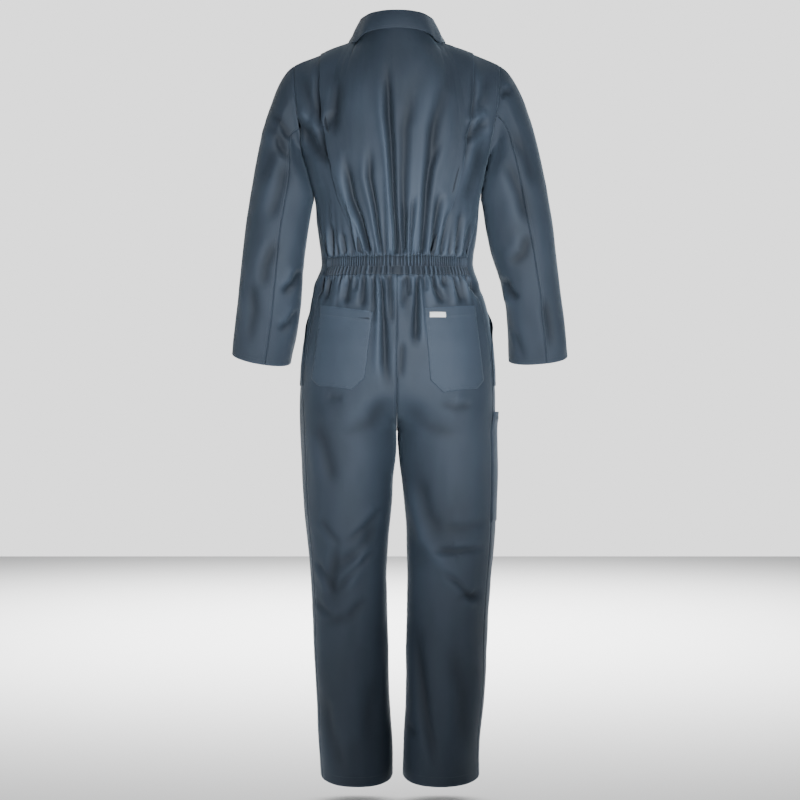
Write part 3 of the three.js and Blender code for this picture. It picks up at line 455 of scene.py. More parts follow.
BACK_CREASES = (
    creases(
        (((25, -8), (18, -110), (13, -200), (9, -300), (5, -430)), 6.5, -2.6),
        (((-103, -205), (-74, -280), (-60, -372)), 8, -2.2, -0.3),
        (((140, -148), (154, -176), (163, -196)), 8, -2.6, 0.3),
        (((180, -30), (180, -110), (176, -170), (168, -225), (154, -290)), 6, -3.2, 0.3),
        (((-170, -30), (-171, -110), (-167, -170), (-158, -230), (-144, -300)), 6, -3.4, -0.3),
        (((182, -1155), (158, -1200), (141, -1238)), 7, -4.5, 0.3),
        (((141, -1238), (95, -1185), (46, -1132)), 8, -5.0, 0.4),
        (((176, -1061), (150, -1100), (123, -1132)), 8, -4.0, 0.3),
        (((123, -1132), (70, -1085), (23, -1032)), 9, -3.5, 0.3),
        (((188, -1244), (160, -1275), (141, -1291)), 8, -3.0, 0.3),
        (((-96, -1180), (-140, -1212), (-166, -1244), (-196, -1220)), 8, -4.0, 0.4),
        (((129, -70), (144, -215)), 11, -3.5, 0.4),
        (((226, -140), (192, -178), (158, -206)), 10, 3.5),
        (((232, -160), (190, -222), (150, -280)), 11, -4.5, 0.4),
        (((214, -60), (200, -120), (168, -170)), 14, -2.5, 0.3),
        (((-150, -180), (-178, -168), (-206, -150)), 9, 3.0),
        (((-150, -222), (-178, -196), (-204, -166)), 10, -4.0, -0.4),
        (((-196, -210), (-176, -290), (-150, -370)), 13, -3.5, 0.4),
        (((-212, -60), (-196, -120), (-172, -160)), 13, -2.5, 0.3),
        (((-11, -660), (-7, -760)), 8, -4, 0.4),
        (((-92, -806), (-130, -818), (-175, -812)), 10, -3.5, 0.3),
        (((158, -792), (120, -800)), 9, -2),
        (((20, -790), (60, -850), (120, -880)), 16, -3.5, 0.3),
        (((-20, -800), (-70, -860), (-140, -880)), 16, -3.5, 0.3),
        (((178, -840), (160, -920), (140, -1000)), 15, -5, 0.4),
        (((61, -1110), (90, -1180), (118, -1240)), 13, 5),
        (((134, -1110), (143, -1190), (142, -1260)), 11, -5, 0.4),
        (((40, -1060), (80, -1140), (150, -1185)), 14, -4, 0.3),
        (((60, -1240), (110, -1290), (172, -1300)), 12, -3.5, 0.3),
        (((175, -1440), (150, -1540), (117, -1655)), 16, -5, 0.4),
        (((40, -1400), (62, -1500), (60, -1600)), 16, -3, 0.3),
        (((-24, -960), (-42, -1050), (-58, -1109), (-97, -1163), (-150, -1214)), 15, 5.5),
        (((-48, -960), (-72, -1060), (-110, -1120)), 16, -4, 0.3),
        (((-70, -1138), (-130, -1142), (-200, -1132)), 9, -5, 0.4),
        (((-130, -1250), (-162, -1238), (-196, -1246)), 9, -4),
        (((-100, -1090), (-160, -1088), (-206, -1070)), 12, -3, 0.3),
        (((-38, -1280), (-50, -1380), (-72, -1537), (-94, -1657)), 12, -6, 0.45),
        (((-18, -1526), (-50, -1560)), 9, -3.5),
        (((-120, -1340), (-150, -1460), (-150, -1600)), 18, -3.5, 0.3),
    )
    + creases(
        (((24, -40), (22, -90), (20, -158), (13, -234), (9, -329), (3, -421), (3, -480)), 9, -8, 0.45),
        (((-49, -45), (-36, -110), (-18, -189), (-15, -300), (-16, -480)), 14, -4.5, -0.3),
        (((-128, -40), (-104, -110), (-83, -189), (-68, -320), (-56, -480)), 14, -6, 0.3),
        (((122, -240), (101, -346), (81, -396), (58, -480)), 9, -8, 0.5),
        (((60, -215), (61, -299), (49, -364), (34, -480)), 8, -6, 0.4),
        (((132, -220), (101, -385), (84, -480)), 8, 3.5),
        (((25, -290), (16, -480)), 7, 3),
        (((-18, -350), (-17, -480)), 6, -4, 0.5),
        (((-36, -330), (-29, -480)), 6, -4.5, -0.4),
        (((-99, -320), (-76, -480)), 8, -6, -0.5),
        (((-118, -360), (-100, -480)), 7, -4),
        (((-146, -370), (-133, -480)), 7, -5, -0.4),
        (((-166, -390), (-152, -480)), 7, -4),
        (((124, -420), (112, -480)), 6, -4, 0.4),
        (((150, -400), (141, -480)), 7, -4.5, 0.4),
        to_band=True,
    )
    + creases(
        (((156, -513), (166, -538), (176, -575)), 8, -5, 0.3),
        (((142, -513), (152, -540), (164, -585)), 7, -5, 0.3),
        (((110, -513), (113, -540), (119, -590)), 8, -6, 0.4),
        (((92, -513), (94, -560)), 6, -4),
        (((72, -513), (74, -540), (78, -600)), 8, -5, 0.4),
        (((54, -513), (52, -560), (50, -640)), 7, -4),
        (((38, -513), (34, -549), (29, -643), (27, -718), (17, -790)), 9, -8, 0.5),
        (((16, -513), (14, -560), (12, -640)), 7, -4, 0.3),
        (((-14, -513), (-13, -600)), 6, -4),
        (((-29, -513), (-28, -570)), 6, -4, 0.4),
        (((-45, -513), (-45, -580), (-42, -690)), 8, -8, -0.5),
        (((-62, -513), (-66, -560)), 6, -4),
        (((-79, -513), (-84, -540), (-108, -590)), 8, -6.5, 0.4),
        (((-100, -513), (-106, -550)), 6, -4),
        (((-124, -513), (-133, -535), (-150, -590)), 8, -6, 0.4),
        (((-144, -513), (-155, -528), (-189, -570)), 8, -6, 0.4),
        from_band=True,
    )
)
FRONT_CREASES = creases(
    (((70, -210), (58, -330), (54, -520), (50, -620)), 14, -5, 0.4),
    (((-72, -200), (-60, -340), (-52, -510), (-56, -600)), 14, -5, -0.4),
    (((120, -200), (104, -340), (92, -500), (98, -600)), 13, -5.5, 0.4),
    (((-124, -190), (-104, -350), (-94, -500), (-100, -610)), 13, -5.5, -0.4),
    (((158, -300), (140, -420), (130, -520), (138, -600)), 11, -5, 0.4),
    (((-160, -310), (-142, -420), (-130, -520), (-142, -610)), 11, -5, -0.4),
    (((34, -330), (30, -470), (34, -570)), 9, -3, 0.3),
    (((-36, -300), (-30, -460), (-36, -580)), 9, -3, -0.3),
    (((150, -120), (120, -190), (80, -230)), 14, -3, 0.3),
    (((-150, -120), (-118, -196), (-80, -240)), 14, -3, 0.3),
    (((20, -760), (80, -820), (160, -850)), 14, -5, 0.3),
    (((-20, -760), (-84, -815), (-165, -850)), 14, -5, 0.3),
    (((24, -800), (84, -890), (150, -950)), 16, -4, 0.3),
    (((-24, -800), (-90, -880), (-160, -930)), 16, -4, 0.3),
    (((40, -1060), (110, -1110), (185, -1110)), 14, -4, 0.4),
    (((-44, -1080), (-110, -1120), (-190, -1110)), 14, -4, 0.4),
    (((50, -1150), (120, -1190), (180, -1180)), 13, -3.5, 0.4),
    (((-50, -1160), (-120, -1180), (-190, -1190)), 13, -3.5, 0.4),
    (((60, -1380), (100, -1500), (90, -1630)), 16, -4, 0.4),
    (((-70, -1360), (-110, -1490), (-96, -1630)), 16, -4, 0.4),
    (((150, -1420), (140, -1540), (120, -1640)), 15, -3.5, 0.3),
    (((-150, -1430), (-150, -1540), (-130, -1640)), 15, -3.5, 0.3),
)
SLEEVE_BACK_CREASES = creases(
    (((282, -150), (256, -186), (232, -220)), 10, -3.5, 0.4),
    (((290, -166), (262, -222), (240, -272)), 11, -3.5, 0.4),
    (((-226, -118), (-244, -108), (-262, -108)), 9, -4.0, 0.4),
    (((-236, -520), (-252, -556), (-276, -580)), 9, -5, 0.4),
    (((-218, -574), (-236, -616), (-262, -652)), 10, -5, 0.4),
    (((-262, -640), (-276, -684), (-288, -725)), 8, -4, 0.4),
    (((-300, -420), (-284, -470), (-250, -500)), 13, -3.5, 0.4),
    (((-330, -560), (-345, -640), (-350, -700)), 12, -3, 0.4),
    (((-246, -250), (-276, -330), (-300, -420)), 14, -3.5, 0.4),
    (((-250, -180), (-290, -250), (-318, -330)), 16, -3, 0.3),
    (((212, -500), (232, -540), (262, -566)), 10, -4.5, 0.4),
    (((216, -590), (240, -630), (270, -650)), 10, -4, 0.4),
    (((270, -430), (296, -500), (300, -560)), 13, -3.5, 0.4),
    (((330, -520), (322, -600), (338, -690)), 13, -3, 0.4),
    (((248, -250), (264, -330), (290, -410)), 14, -3.5, 0.4),
    (((240, -180), (282, -250), (306, -330)), 16, -3, 0.3),
)
SLEEVE_FRONT_CREASES = creases(
    (((-240, -180), (-270, -240), (-310, -290)), 14, -4, 0.4),
    (((240, -180), (270, -240), (306, -290)), 14, -4, 0.4),
    (((-240, -500), (-290, -530), (-350, -540)), 11, -5, 0.4),
    (((240, -490), (290, -526), (340, -536)), 11, -5, 0.4),
    (((-250, -560), (-300, -576), (-356, -580)), 11, -4.5, 0.4),
    (((246, -556), (296, -572), (350, -580)), 11, -4.5, 0.4),
    (((-300, -330), (-290, -420), (-280, -480)), 14, -3, 0.3),
    (((300, -330), (286, -420), (270, -480)), 14, -3, 0.3),
)


def as_seen(points: Array) -> tuple[Array, Array]:
    """Where the eye behind the suit sees points, in the plane through the suit's middle."""
    near = VIEW_DISTANCE / (VIEW_DISTANCE - points[..., 1])
    x = VIEW_X + (points[..., 0] - VIEW_X) * near
    z = VIEW_Z + (points[..., 2] - VIEW_Z) * near
    return x, z


@dataclass(frozen=True)
class Folds:
    """The creases of one part of the suit, with the cloth's own unevenness.

    Attributes:
        back: creases seen from behind.
        front: creases seen from the front.
        middle_y: where the back's creases give way to the front's.
        strength, leg_strength: how much deeper they are than their tables say.
        slow, quick: the cloth's wide and its small unevenness.
    """

    back: tuple[Crease, ...]
    front: tuple[Crease, ...]
    middle_y: float = 0.0
    strength: float = 1.7
    leg_strength: float = 0.95
    slow: SoftNoise = field(default_factory=lambda: SoftNoise(3))
    quick: SoftNoise = field(default_factory=lambda: SoftNoise(11))

    def height(self, points: Array) -> Array:
        """How far the cloth moves out, in millimetres, at places on the smooth form."""
        x, z = as_seen(points)
        back = smooth((points[..., 1] - self.middle_y) / 50 + 0.5)
        total = back * sum(crease.height(x, z) for crease in self.back)
        plain_x, plain_z = points[..., 0], points[..., 2]
        total += (1 - back) * sum(crease.height(plain_x, plain_z) for crease in self.front)
        total *= lerp(self.leg_strength, self.strength, smooth((z - LEG_CREASES_Z) / 250))
        total += 2.0 * self.slow.at(points, (46, 60, 120))
        total += 0.7 * self.quick.at(points, (19, 24, 44))
        return total


def crest(height: Array) -> Array:
    """How far a place is from the bottom of a fold, from 0 in a trough to 1 on a ridge; used as the
    painted shading, so troughs are painted dark and ridges light.
    """
    return np.clip(0.5 + 0.07 * height, 0, 1)


RUFFLE = SoftNoise(53)
RUFFLE_CELL = (8.0, 60.0, 40.0)


def ruffle(points: Array) -> Array:
    """How far the waist's two seams wander up and down, in millimetres."""
    top = bell(points[..., 2] - WAIST_TOP_Z, 9)
    bottom = bell(points[..., 2] - WAIST_BOTTOM_Z, 9)
    behind = smooth((points[..., 1] - 20) / 30)
    return RUFFLE.at(points, RUFFLE_CELL) * (2.6 * top + 1.5 * bottom) * behind


BODY_FOLDS = Folds(BACK_CREASES, FRONT_CREASES)
SLEEVE_FOLDS = Folds(SLEEVE_BACK_CREASES, SLEEVE_FRONT_CREASES, -10.0)


class SuitForm:
    """The smooth form of the body and legs, which each panel lies on.

    A lead is how far the cloth keeps its way above the armpit's level, and a reach how far it
    keeps the way in which it meets the upper edge. Pairs are for the neck and the shoulder.
    """

    SHOULDER_DROP = (0.75, 0.25)  # shares of the shoulder's drop that are even and that grow
    NECK_CORNER = math.radians(26)  # how far the cloth turns where neck and shoulder meet
    BACK_NECK_RISE, FRONT_NECK_RISE = 0.91, 0.94  # how steeply the cloth meets the neck
    SHOULDER_RISE = (0.5, 0.32)  # and the shoulder, from the neck to the tip
    FLARE = 26.0  # how far the sides lean out above the armpit
    BACK_LEAD, FRONT_LEADS = 92.0, (66.0, 92.0)
    BACK_REACHES, FRONT_REACHES = (72.0, 92.0), (60.0, 84.0)
    ARMHOLE_SHARE = 0.68  # where the armhole's own handles begin to count
    ARMHOLE_LEAD, ARMHOLE_LAND = (12.0, 66.0, 44.0), (2.0, 74.0, -62.0)
    CHEST_INSET = -10.0  # how much further in the armhole lies on the chest

    def __init__(self) -> None:
        """Reads the tables."""
        self.half = {side: BODY.curve(side.word) for side in Side}
        self.back, self.front = BODY.curve("back"), BODY.curve("front")
        self.neck_z = NECKLINE.curve("z")
        self.leg = {name: LEGS.curve(name) for name in LEGS.columns[1:]}
        self.wrap = FRONT_WRAP.curve("share")
        self.pleat_x = PLEAT_EDGE.curve("x")

    def section(self, side: Side, back: Array, share: Array, z: Array) -> Array:
        """Half of a level section of the body.

        Args:
            side: the wearer's side.
            back: whether each place is on the back.
            share: 0 in the middle of the back or front, 1 at the side.
            z: the heights.

        Returns:
            Points with X outwards.
        """
        turn = share * math.pi / 2
        depth = np.where(back, self.back(z), -self.front(z)) - np.where(back, CLOTH, -CLOTH)
        half = self.half[side](z) - CLOTH
        return xyz(
            half * power(np.sin(turn), BODY_POWER), depth * power(np.cos(turn), BODY_POWER), z
        )

    def neck(self, angle: Array) -> Array:
        """The neck seam, by angle in degrees from the nape."""
        turn = np.radians(angle)
        back = np.cos(turn)
        y = NECK_MIDDLE_Y + back * np.where(back > 0, NECK_BACK, NECK_FRONT)
        return xyz(NECK_HALF_WIDTH * np.sin(turn), y, self.neck_z(angle))

    def top(self, back: Array, share: Array) -> tuple[Array, Array]:
        """The upper edge of a back or front, and the way the cloth arrives at it.

        Args:
            back: whether each place is on the back.
            share: the share of a half back or front.

        Returns:
            The edge's points, and directions.
        """
        size, sign = np.abs(share), np.where(share < 0, -1.0, 1.0)
        turn = 90 * np.minimum(size, NECK_SHARE) / NECK_SHARE
        on_neckline = self.neck(np.where(back, turn, 180 - turn))
        along = (size - NECK_SHARE) / (1 - NECK_SHARE)
        drop, (even, growing) = HIGH_SHOULDER_Z - SHOULDER_TIP[2], self.SHOULDER_DROP
        on_shoulder = xyz(
            lerp(NECK_HALF_WIDTH, SHOULDER_TIP[0], along),
            lerp(NECK_MIDDLE_Y, SHOULDER_TIP[1], along),
            HIGH_SHOULDER_Z - drop * (even * along + growing * along**2),
        )
        edge = np.where((size < NECK_SHARE)[..., None], on_neckline, on_shoulder)
        edge[..., 0] *= sign
        on_neck = smooth(size / NECK_SHARE)
        off_corner = np.where(size < NECK_SHARE, on_neck, 1 - smooth(along / 0.8))
        corner = self.NECK_CORNER * off_corner
        neck_rise = np.where(back, self.BACK_NECK_RISE, self.FRONT_NECK_RISE)
        rise = lerp(neck_rise, lerp(*self.SHOULDER_RISE, smooth(along)), on_neck)
        level = np.sqrt(1 - rise**2)
        facing = np.where(back, 1.0, -1.0)
        way = xyz(-sign * level * np.sin(corner), -facing * level * np.cos(corner), rise)
        return edge, way

    def upper(self, side: Side, back: Array, share: Array, level: Array) -> Array:
        """The body above the waist, by level."""
        level = np.minimum(level, 2.0)
        low = self.section(side, back, share, lerp(WAIST_TOP_Z, ARMPIT_Z, level))
        start = self.section(side, back, share, np.full_like(level, ARMPIT_Z))
        end, _ = self.top(back, share)
        ease = NECK_EASE * np.minimum(1, (1 - np.abs(share)) / 0.3)
        around = [self.top(back, share + step * ease) for step in (-1, -0.5, 0, 0.5, 1)]
        eased = sum(edge for edge, _ in around) / 5
        way = unit(sum(way for _, way in around))
        facing = np.where(back, 1.0, -1.0)
        outward = np.where(share < 0, -1.0, 1.0)
        half = float(self.half[side](np.array(ARMPIT_Z)))
        flare = self.FLARE * outward * (start[..., 0] / half) ** 2
        on_neck = smooth(np.abs(share) / NECK_SHARE)
        leads = np.where(back, self.BACK_LEAD, lerp(*self.FRONT_LEADS, on_neck))
        front_reach = lerp(*self.FRONT_REACHES, on_neck)
        reaches = np.where(back, lerp(*self.BACK_REACHES, on_neck), front_reach)
        past = (np.abs(share) - self.ARMHOLE_SHARE) / (1 - self.ARMHOLE_SHARE)
        at_armhole = smooth(past)[..., None]
        inset = np.where(back, 0.0, self.CHEST_INSET)
        arm_lead, arm_land = (
            near + xyz(outward * (x + inset), facing * y, z)
            for near, (x, y, z) in ((start, self.ARMHOLE_LEAD), (eased, self.ARMHOLE_LAND))
        )
        lead = lerp(start + xyz(flare, 0.0, leads), arm_lead, at_armhole)
        land = lerp(eased - way * reaches[..., None], arm_land, at_armhole)
        rest = np.clip(level - 1, 0, 1)
        high = bezier((start, lead, land, eased), rest)
        high = high + (end - eased) * (rest**8)[..., None]
        return np.where((level <= 1)[..., None], low, high)

    def lower(self, side: Side, back: Array, share: Array, level: Array) -> Array:
        """The body below the waist and the leg, by level."""
        z = height_of(level)
        word = side.word
        outer = np.where(z > CROTCH_Z, self.half[side](z), self.leg[word + "_outer"](z)) - CLOTH
        inner = np.maximum(0, self.leg[word + "_inner"](z)) + CLOTH
        turn = math.pi * share
        depth = np.where(back, self.leg["back"](z), self.leg["front"](z)) - CLOTH
        facing = np.where(back, 1.0, -1.0)
        lobe = xyz(
            (outer + inner) / 2 - (outer - inner) / 2 * power(np.cos(turn), TUBE_POWER),
            self.leg["y"](z) + facing * depth * power(np.sin(turn), TUBE_POWER),
            z,
        )
        under = np.clip((CROTCH_START_Z - z) / (CROTCH_START_Z - CROTCH_Z), 0, 1) ** 2
        point = lerp(self.section(side, back, share, z), lobe, under[..., None])
        point[..., 1] *= 1 + SEAT_FULLNESS * under * (1 - under)
        near_hem = smooth((HEM_RISE_Z - z) / (HEM_RISE_Z - HEM_Z))
        depth_here = self.leg["back"](z)
        point[..., 2] -= HEM_DROP * near_hem * (point[..., 1] - self.leg["y"](z)) / depth_here
        return point

    def at(self, side: Side, back: Any, share: Array, level: Array) -> Array:
        """A place on the suit, where a share past 1 is round the side."""
        back, share, level = np.broadcast_arrays(back, share, level)
        round_side = (share > 1) & (level < 1)
        back = np.where(round_side, ~back.astype(bool), back.astype(bool))
        share = np.where(round_side, 2 - share, np.minimum(share, 1))
        high = self.upper(side, back, share, np.maximum(level, 0.0))
        low = self.lower(side, back, share, np.minimum(level, 0.0))
        return np.where((level >= 0)[..., None], high, low)

    def surface(self, side: Side, back: bool) -> Surface:
        """Places and outward normals on one side's back or front.

        Args:
            side: the wearer's side.
            back: whether it is the back.

        Returns:
            A function of shares and levels.
        """

        def read(share: Array, level: Array) -> tuple[Array, Array]:
            across = self.at(side, back, share + NUDGE, level)
            across = across - self.at(side, back, share - NUDGE, level)
            up = self.at(side, back, share, level + NUDGE)
            up = up - self.at(side, back, share, level - NUDGE)
            normal = unit(np.cross(across, up)) * (-1.0 if back else 1.0)
            point = self.at(side, back, share, level)
            mirror = np.array([side.value, 1.0, 1.0])
            return point * mirror, normal * mirror

        return read

    def wrap_at(self, level: Array) -> Array:
        """How far a front reaches round the side at a level."""
        return np.where(level < 1, self.wrap(height_of(np.minimum(level, 1.0))), 0.0)

    def pleat_share(self, side: Side, level: Array) -> Array:
        """The share of a half back where the pleat's edge lies."""

        def past_edge(share: Array) -> Array:
            point = self.upper(side, np.array(True), share, level)
            return point[..., 0] - self.pleat_x(point[..., 2])

        return solved(past_edge, 0.0, np.full(level.shape, 0.2), np.full(level.shape, 0.95))

    def share_at(self, side: Side, back: bool, x: Array, level: Array) -> Array:
        """The share at a distance from the suit's middle."""

        def reach(share: Array) -> Array:
            return self.at(side, back, share, level)[..., 0]

        return solved(reach, x, np.zeros(x.shape), np.ones(x.shape))


FORM = SuitForm()


@dataclass(frozen=True)
class CapLine:
    """How one line of a sleeve's cap leaves the armhole and reaches the arm.

    Attributes:
        way: its way out of the armhole.
        lead: how far it keeps that way.
        land: how far it runs straight down before the armpit's level.
        out: how far its end is drawn outwards.
    """

    way: Triple
    lead: float
    land: float
    out: float = 0.0


class SleeveForm:
    """The smooth form of one sleeve."""

    TURN = 0.4  # degrees over which a slope is read
    CAP = {
        "top": CapLine((0.87, 0, -0.49), 56, 166),
        "back": CapLine((0.75, 0.45, -0.5), 38, 90),
        "under": CapLine((0.33, 0, 0.94), 36, 60, 23),
        "front": CapLine((0.75, -0.45, -0.5), 38, 90),
    }

    def __init__(self, side: Side) -> None:
        """Reads the tables for one of the wearer's sides."""
        self.side = side
        self.outer = SLEEVES.curve(side.word + "_outer")
        self.inner = SLEEVES.curve(side.word + "_inner")
        self.y, self.depth = SLEEVES.curve("y"), SLEEVES.curve("depth")
        self.top_z, self.cuff_z = SLEEVES.rows[0][0], SLEEVES.rows[-1][0]
        self.armhole: tuple[Array, Array, Array] | None = None

    def middle(self, z: Array) -> Array:
        """The middle of the sleeve at a height."""
        return xyz((self.outer(z) + self.inner(z)) / 2, self.y(z), z)

    def ring(self, angle: Array, z: Array) -> Array:
        """A point below the armpit, by angle from the outside round by the back."""
        step = 12.0
        down = unit(
            self.middle(np.maximum(self.cuff_z, z - step))
            - self.middle(np.minimum(self.top_z, z + step))
        )
        tilt = smooth((self.top_z - z) / (self.top_z - self.cuff_z) / 0.4)[..., None]
        down = unit(lerp(down, xyz(0, 0, -1.0), 1 - tilt))
        across = unit(xyz(1.0, 0, 0) - down * down[..., :1])
        back = np.cross(across, down)
        half = (self.outer(z) - self.inner(z)) / 2 - CLOTH
        depth = self.depth(z) - CLOTH
        turn = np.radians(angle)
        return (
            self.middle(z)
            + across * (half * power(np.cos(turn), TUBE_POWER))[..., None]
            + back * (depth * power(np.sin(turn), TUBE_POWER))[..., None]
        )

    def edge(self, angle: Array) -> tuple[Array, Array, Array]:
        """The armhole by angle from the shoulder tip.

        Args:
            angle: degrees round by the back.

        Returns:
            The armhole's points, the body's normals and the ways out of the body.
        """
        if self.armhole is None:
            self.armhole = self.read_armhole()
        turns = np.arange(0, 361.0)
        return tuple(read_along(np.mod(angle, 360.0), turns, values) for values in self.armhole)

    def read_armhole(self) -> tuple[Array, Array, Array]:
        """The armhole at each degree, its turns at the tip and the armpit evened out."""
        turn = np.arange(0, 360.0)
        back = turn < 180
        level = 2 - np.where(back, turn + 0.5, 360 - turn - 0.5) / 180
        one = np.ones_like(level)
        along = unit(
            FORM.upper(self.side, back, one, level + NUDGE)
            - FORM.upper(self.side, back, one, level - NUDGE)
        )
        point = FORM.upper(self.side, back, one, level)
        away = point - FORM.upper(self.side, back, one - NUDGE, level)
        out = unit(away - along * dot(away, along))
        normal = np.cross(out, along) * np.where(back, -1.0, 1.0)[..., None]

        def evened(values: Array) -> Array:
            wide = np.concatenate([values[-12:], values, values[:12]])
            total = sum(wide[k : k + 360] for k in range(25)) / 25
            return np.concatenate([total, total[:1]])

        return np.concatenate([point, point[:1]]), unit(evened(normal)), unit(evened(out))

    def at(self, angle: Array, length: Array) -> Array:
        """A place on the sleeve: 0 is the armhole, 1 below the armpit and 2 the cuff."""
        angle, length = np.broadcast_arrays(angle, length)
        below = self.ring(angle, lerp(self.top_z, self.cuff_z, np.maximum(length, 1.0) - 1))
        across, back = np.cos(np.radians(angle)), np.sin(np.radians(angle))
        shares = {
            "top": np.maximum(across, 0) ** 2,
            "under": np.minimum(across, 0) ** 2,
            "back": np.maximum(back, 0) ** 2,
            "front": np.minimum(back, 0) ** 2,
        }
        way, lead_by, land_by, out_by = (
            sum(
                shares[name][..., None] * np.atleast_1d(getattr(line, part))
                for name, line in self.CAP.items()
            )
            for part in ("way", "lead", "land", "out")
        )
        way = unit(way)
        start, normal, out = self.edge(angle)
        rise = np.abs(dot(way, normal))
        way = unit(way + out * np.maximum(0, 0.75 * rise - dot(way, out)))
        end = self.ring(angle, np.full(angle.shape, float(self.top_z)))
        down = unit(self.ring(angle, np.full(angle.shape, self.top_z - 10.0)) - end)
        lead = start + way * lead_by
        land = end - down * land_by + xyz(1.0, 0, 0) * out_by
        cap = bezier((start, lead, land, end), np.clip(length, 0, 1))
        return np.where((length > 1)[..., None], below, cap)

    def surface(self, angle: Array, length: Array) -> tuple[Array, Array]:
        """Places and outward normals on the sleeve."""
        across = self.at(angle + self.TURN, length) - self.at(angle - self.TURN, length)
        low = self.at(angle, np.maximum(length - NUDGE, 0))
        up = self.at(angle, np.minimum(length + NUDGE, 2)) - low
        normal = unit(np.cross(up, across))
        _, body, _ = self.edge(angle)
        near_seam = (1 - smooth(length / 0.06))[..., None]
        normal = unit(lerp(normal, body, near_seam))
        mirror = np.array([self.side.value, 1.0, 1.0])
        return self.at(angle, length) * mirror, normal * mirror


@dataclass
class Seams:
    """What is sewn at each edge of a panel, as a share of a full seam's groove.

    Attributes:
        first, last: the edges at the first and the last column.
        low, high: the edges at the first and the last row.
    """

    first: float = 1.0
    last: float = 1.0
    low: float = 1.0
    high: float = 1.0


def new_piece(name: str, points: Array, faces: Array) -> Piece:
    """A smooth piece in the scene.

    Args:
        name: the piece's name.
        points: its corners in millimetres.
        faces: its faces, as numbers of corners.
    """
    mesh = bpy.data.meshes.new(name)
    mesh.from_pydata((points / METRE).tolist(), [], faces.tolist())
    mesh.polygons.foreach_set("use_smooth", np.ones(len(faces), dtype=bool))
    piece = bpy.data.objects.new(name, mesh)
    bpy.context.scene.collection.objects.link(piece)
    return piece


class Cloth:
    """A sheet of cloth on a grid of places and outward normals."""

    def __init__(self, points: Array, normals: Array, wear: Array | None = None) -> None:
        """Keeps the grid.

        Args:
            points: places in millimetres, rows by columns.
            normals: outward directions there.
            wear: painted shading at each place, from 0 in painted shade to 1 in painted highlight.
        """
        self.points, self.normals = points, normals
        self.wear = np.full(points.shape[:2], FLAT_PAINTED_SHADING) if wear is None else wear

    def arcs(self) -> tuple[Array, Array]:
        """Lengths along the cloth: across each row and up each column."""
        return lengths_along(self.points, 1), lengths_along(self.points)

    def raised(self, height: Any) -> "Cloth":
        """The same cloth moved out along its normals."""
        moved = self.points + self.normals * np.asarray(height)[..., None]
        return Cloth(moved, self.normals, self.wear)

    def sewn(self, seams: Seams, groove: float = 0.6, pucker: float = 0.22) -> "Cloth":
        """Draws the edges down into their seams, with the small puckers of the stitching.

        Args:
            seams: which edges are sewn.
            groove: how deep a seam's edge lies.
            pucker: how high the puckers are.
        """
        u, v = self.arcs()
        edges = (
            (seams.first, u, v),
            (seams.last, u[:, -1:] - u, v),
            (seams.low, v, u),
            (seams.high, v[-1:] - v, u),
        )
        height = np.zeros(u.shape)
        for number, (share, away, along) in enumerate(edges):
            wave = np.sin(along / 1.9 + 2.2 * np.sin(along / 7.3 + number))
            height -= share * groove * bell(away, 1.7)
            height += share * pucker * wave * bell(away - 5, 5)
        return self.raised(height)

    def sample(self, rows: Array, columns: Array, out: float) -> tuple[Array, Array]:
        """Places and normals between grid points.

        Args:
            rows: row numbers, which may be fractions.
            columns: column numbers, the same.
            out: how far out from the cloth's outer face.
        """
        last_row, last_column = self.points.shape[0] - 2, self.points.shape[1] - 2
        i = np.clip(np.floor(rows).astype(int), 0, last_row)
        j = np.clip(np.floor(columns).astype(int), 0, last_column)
        s, t = (rows - i)[:, None], (columns - j)[:, None]

        def mix(values: Array) -> Array:
            low = lerp(values[i, j], values[i, j + 1], t)
            high = lerp(values[i + 1, j], values[i + 1, j + 1], t)
            return lerp(low, high, s)

        normals = unit(mix(self.normals))
        return mix(self.points) + normals * out, normals

    def shell(self, name: str, wall: Any) -> Piece:
        """One closed mesh of the cloth: the grid is its outer face.

        Args:
            name: the piece's name.
            wall: the cloth's thickness in millimetres, one number or one per place.

        Returns:
            The new object, with a UV map in metres and the painted shading as an attribute.
        """
        rows, columns = self.points.shape[:2]
        inner = self.points - self.normals * (np.zeros((rows, columns)) + wall)[..., None]
        points = np.concatenate([self.points.reshape(-1, 3), inner.reshape(-1, 3)])
        number = np.arange(rows * columns).reshape(rows, columns)
        a, b = number[:-1, :-1], number[:-1, 1:]
        c, d = number[1:, 1:], number[1:, :-1]
        shift = rows * columns
        faces = [np.stack([a, b, c, d], -1).reshape(-1, 4)]
        faces.append(np.stack([a, d, c, b], -1).reshape(-1, 4) + shift)
        rim = np.concatenate([
            number[0, :], number[1:, -1], number[-1, -2::-1], number[-2:0:-1, 0]
        ])
        following = np.roll(rim, -1)
        faces.append(np.stack([rim, rim + shift, following + shift, following], -1))
        quads = np.concatenate(faces)
        corner = points[quads]
        volume = np.sum(
            np.cross(corner[:, 0], corner[:, 1]) * corner[:, 2]
            + np.cross(corner[:, 0], corner[:, 2]) * corner[:, 3]
        )
        if volume < 0:
            quads = quads[:, ::-1]
        piece = new_piece(name, points, quads)
        u, v = self.arcs()
        flat = np.stack([u - u[:, :1].mean(), v], -1).reshape(-1, 2) / METRE
        loops = quads.reshape(-1) % shift
        layer = piece.data.uv_layers.new(name="cloth")
        layer.data.foreach_set("uv", flat[loops].astype(np.float32).reshape(-1))
        # the painted shading goes to the material as an attribute: painted shade in troughs, painted
        # highlight on ridges
        wear = piece.data.attributes.new("wear", "FLOAT", "POINT")
        doubled = np.concatenate([self.wear.reshape(-1)] * 2)
        wear.data.foreach_set("value", doubled.astype(np.float32))
        return piece


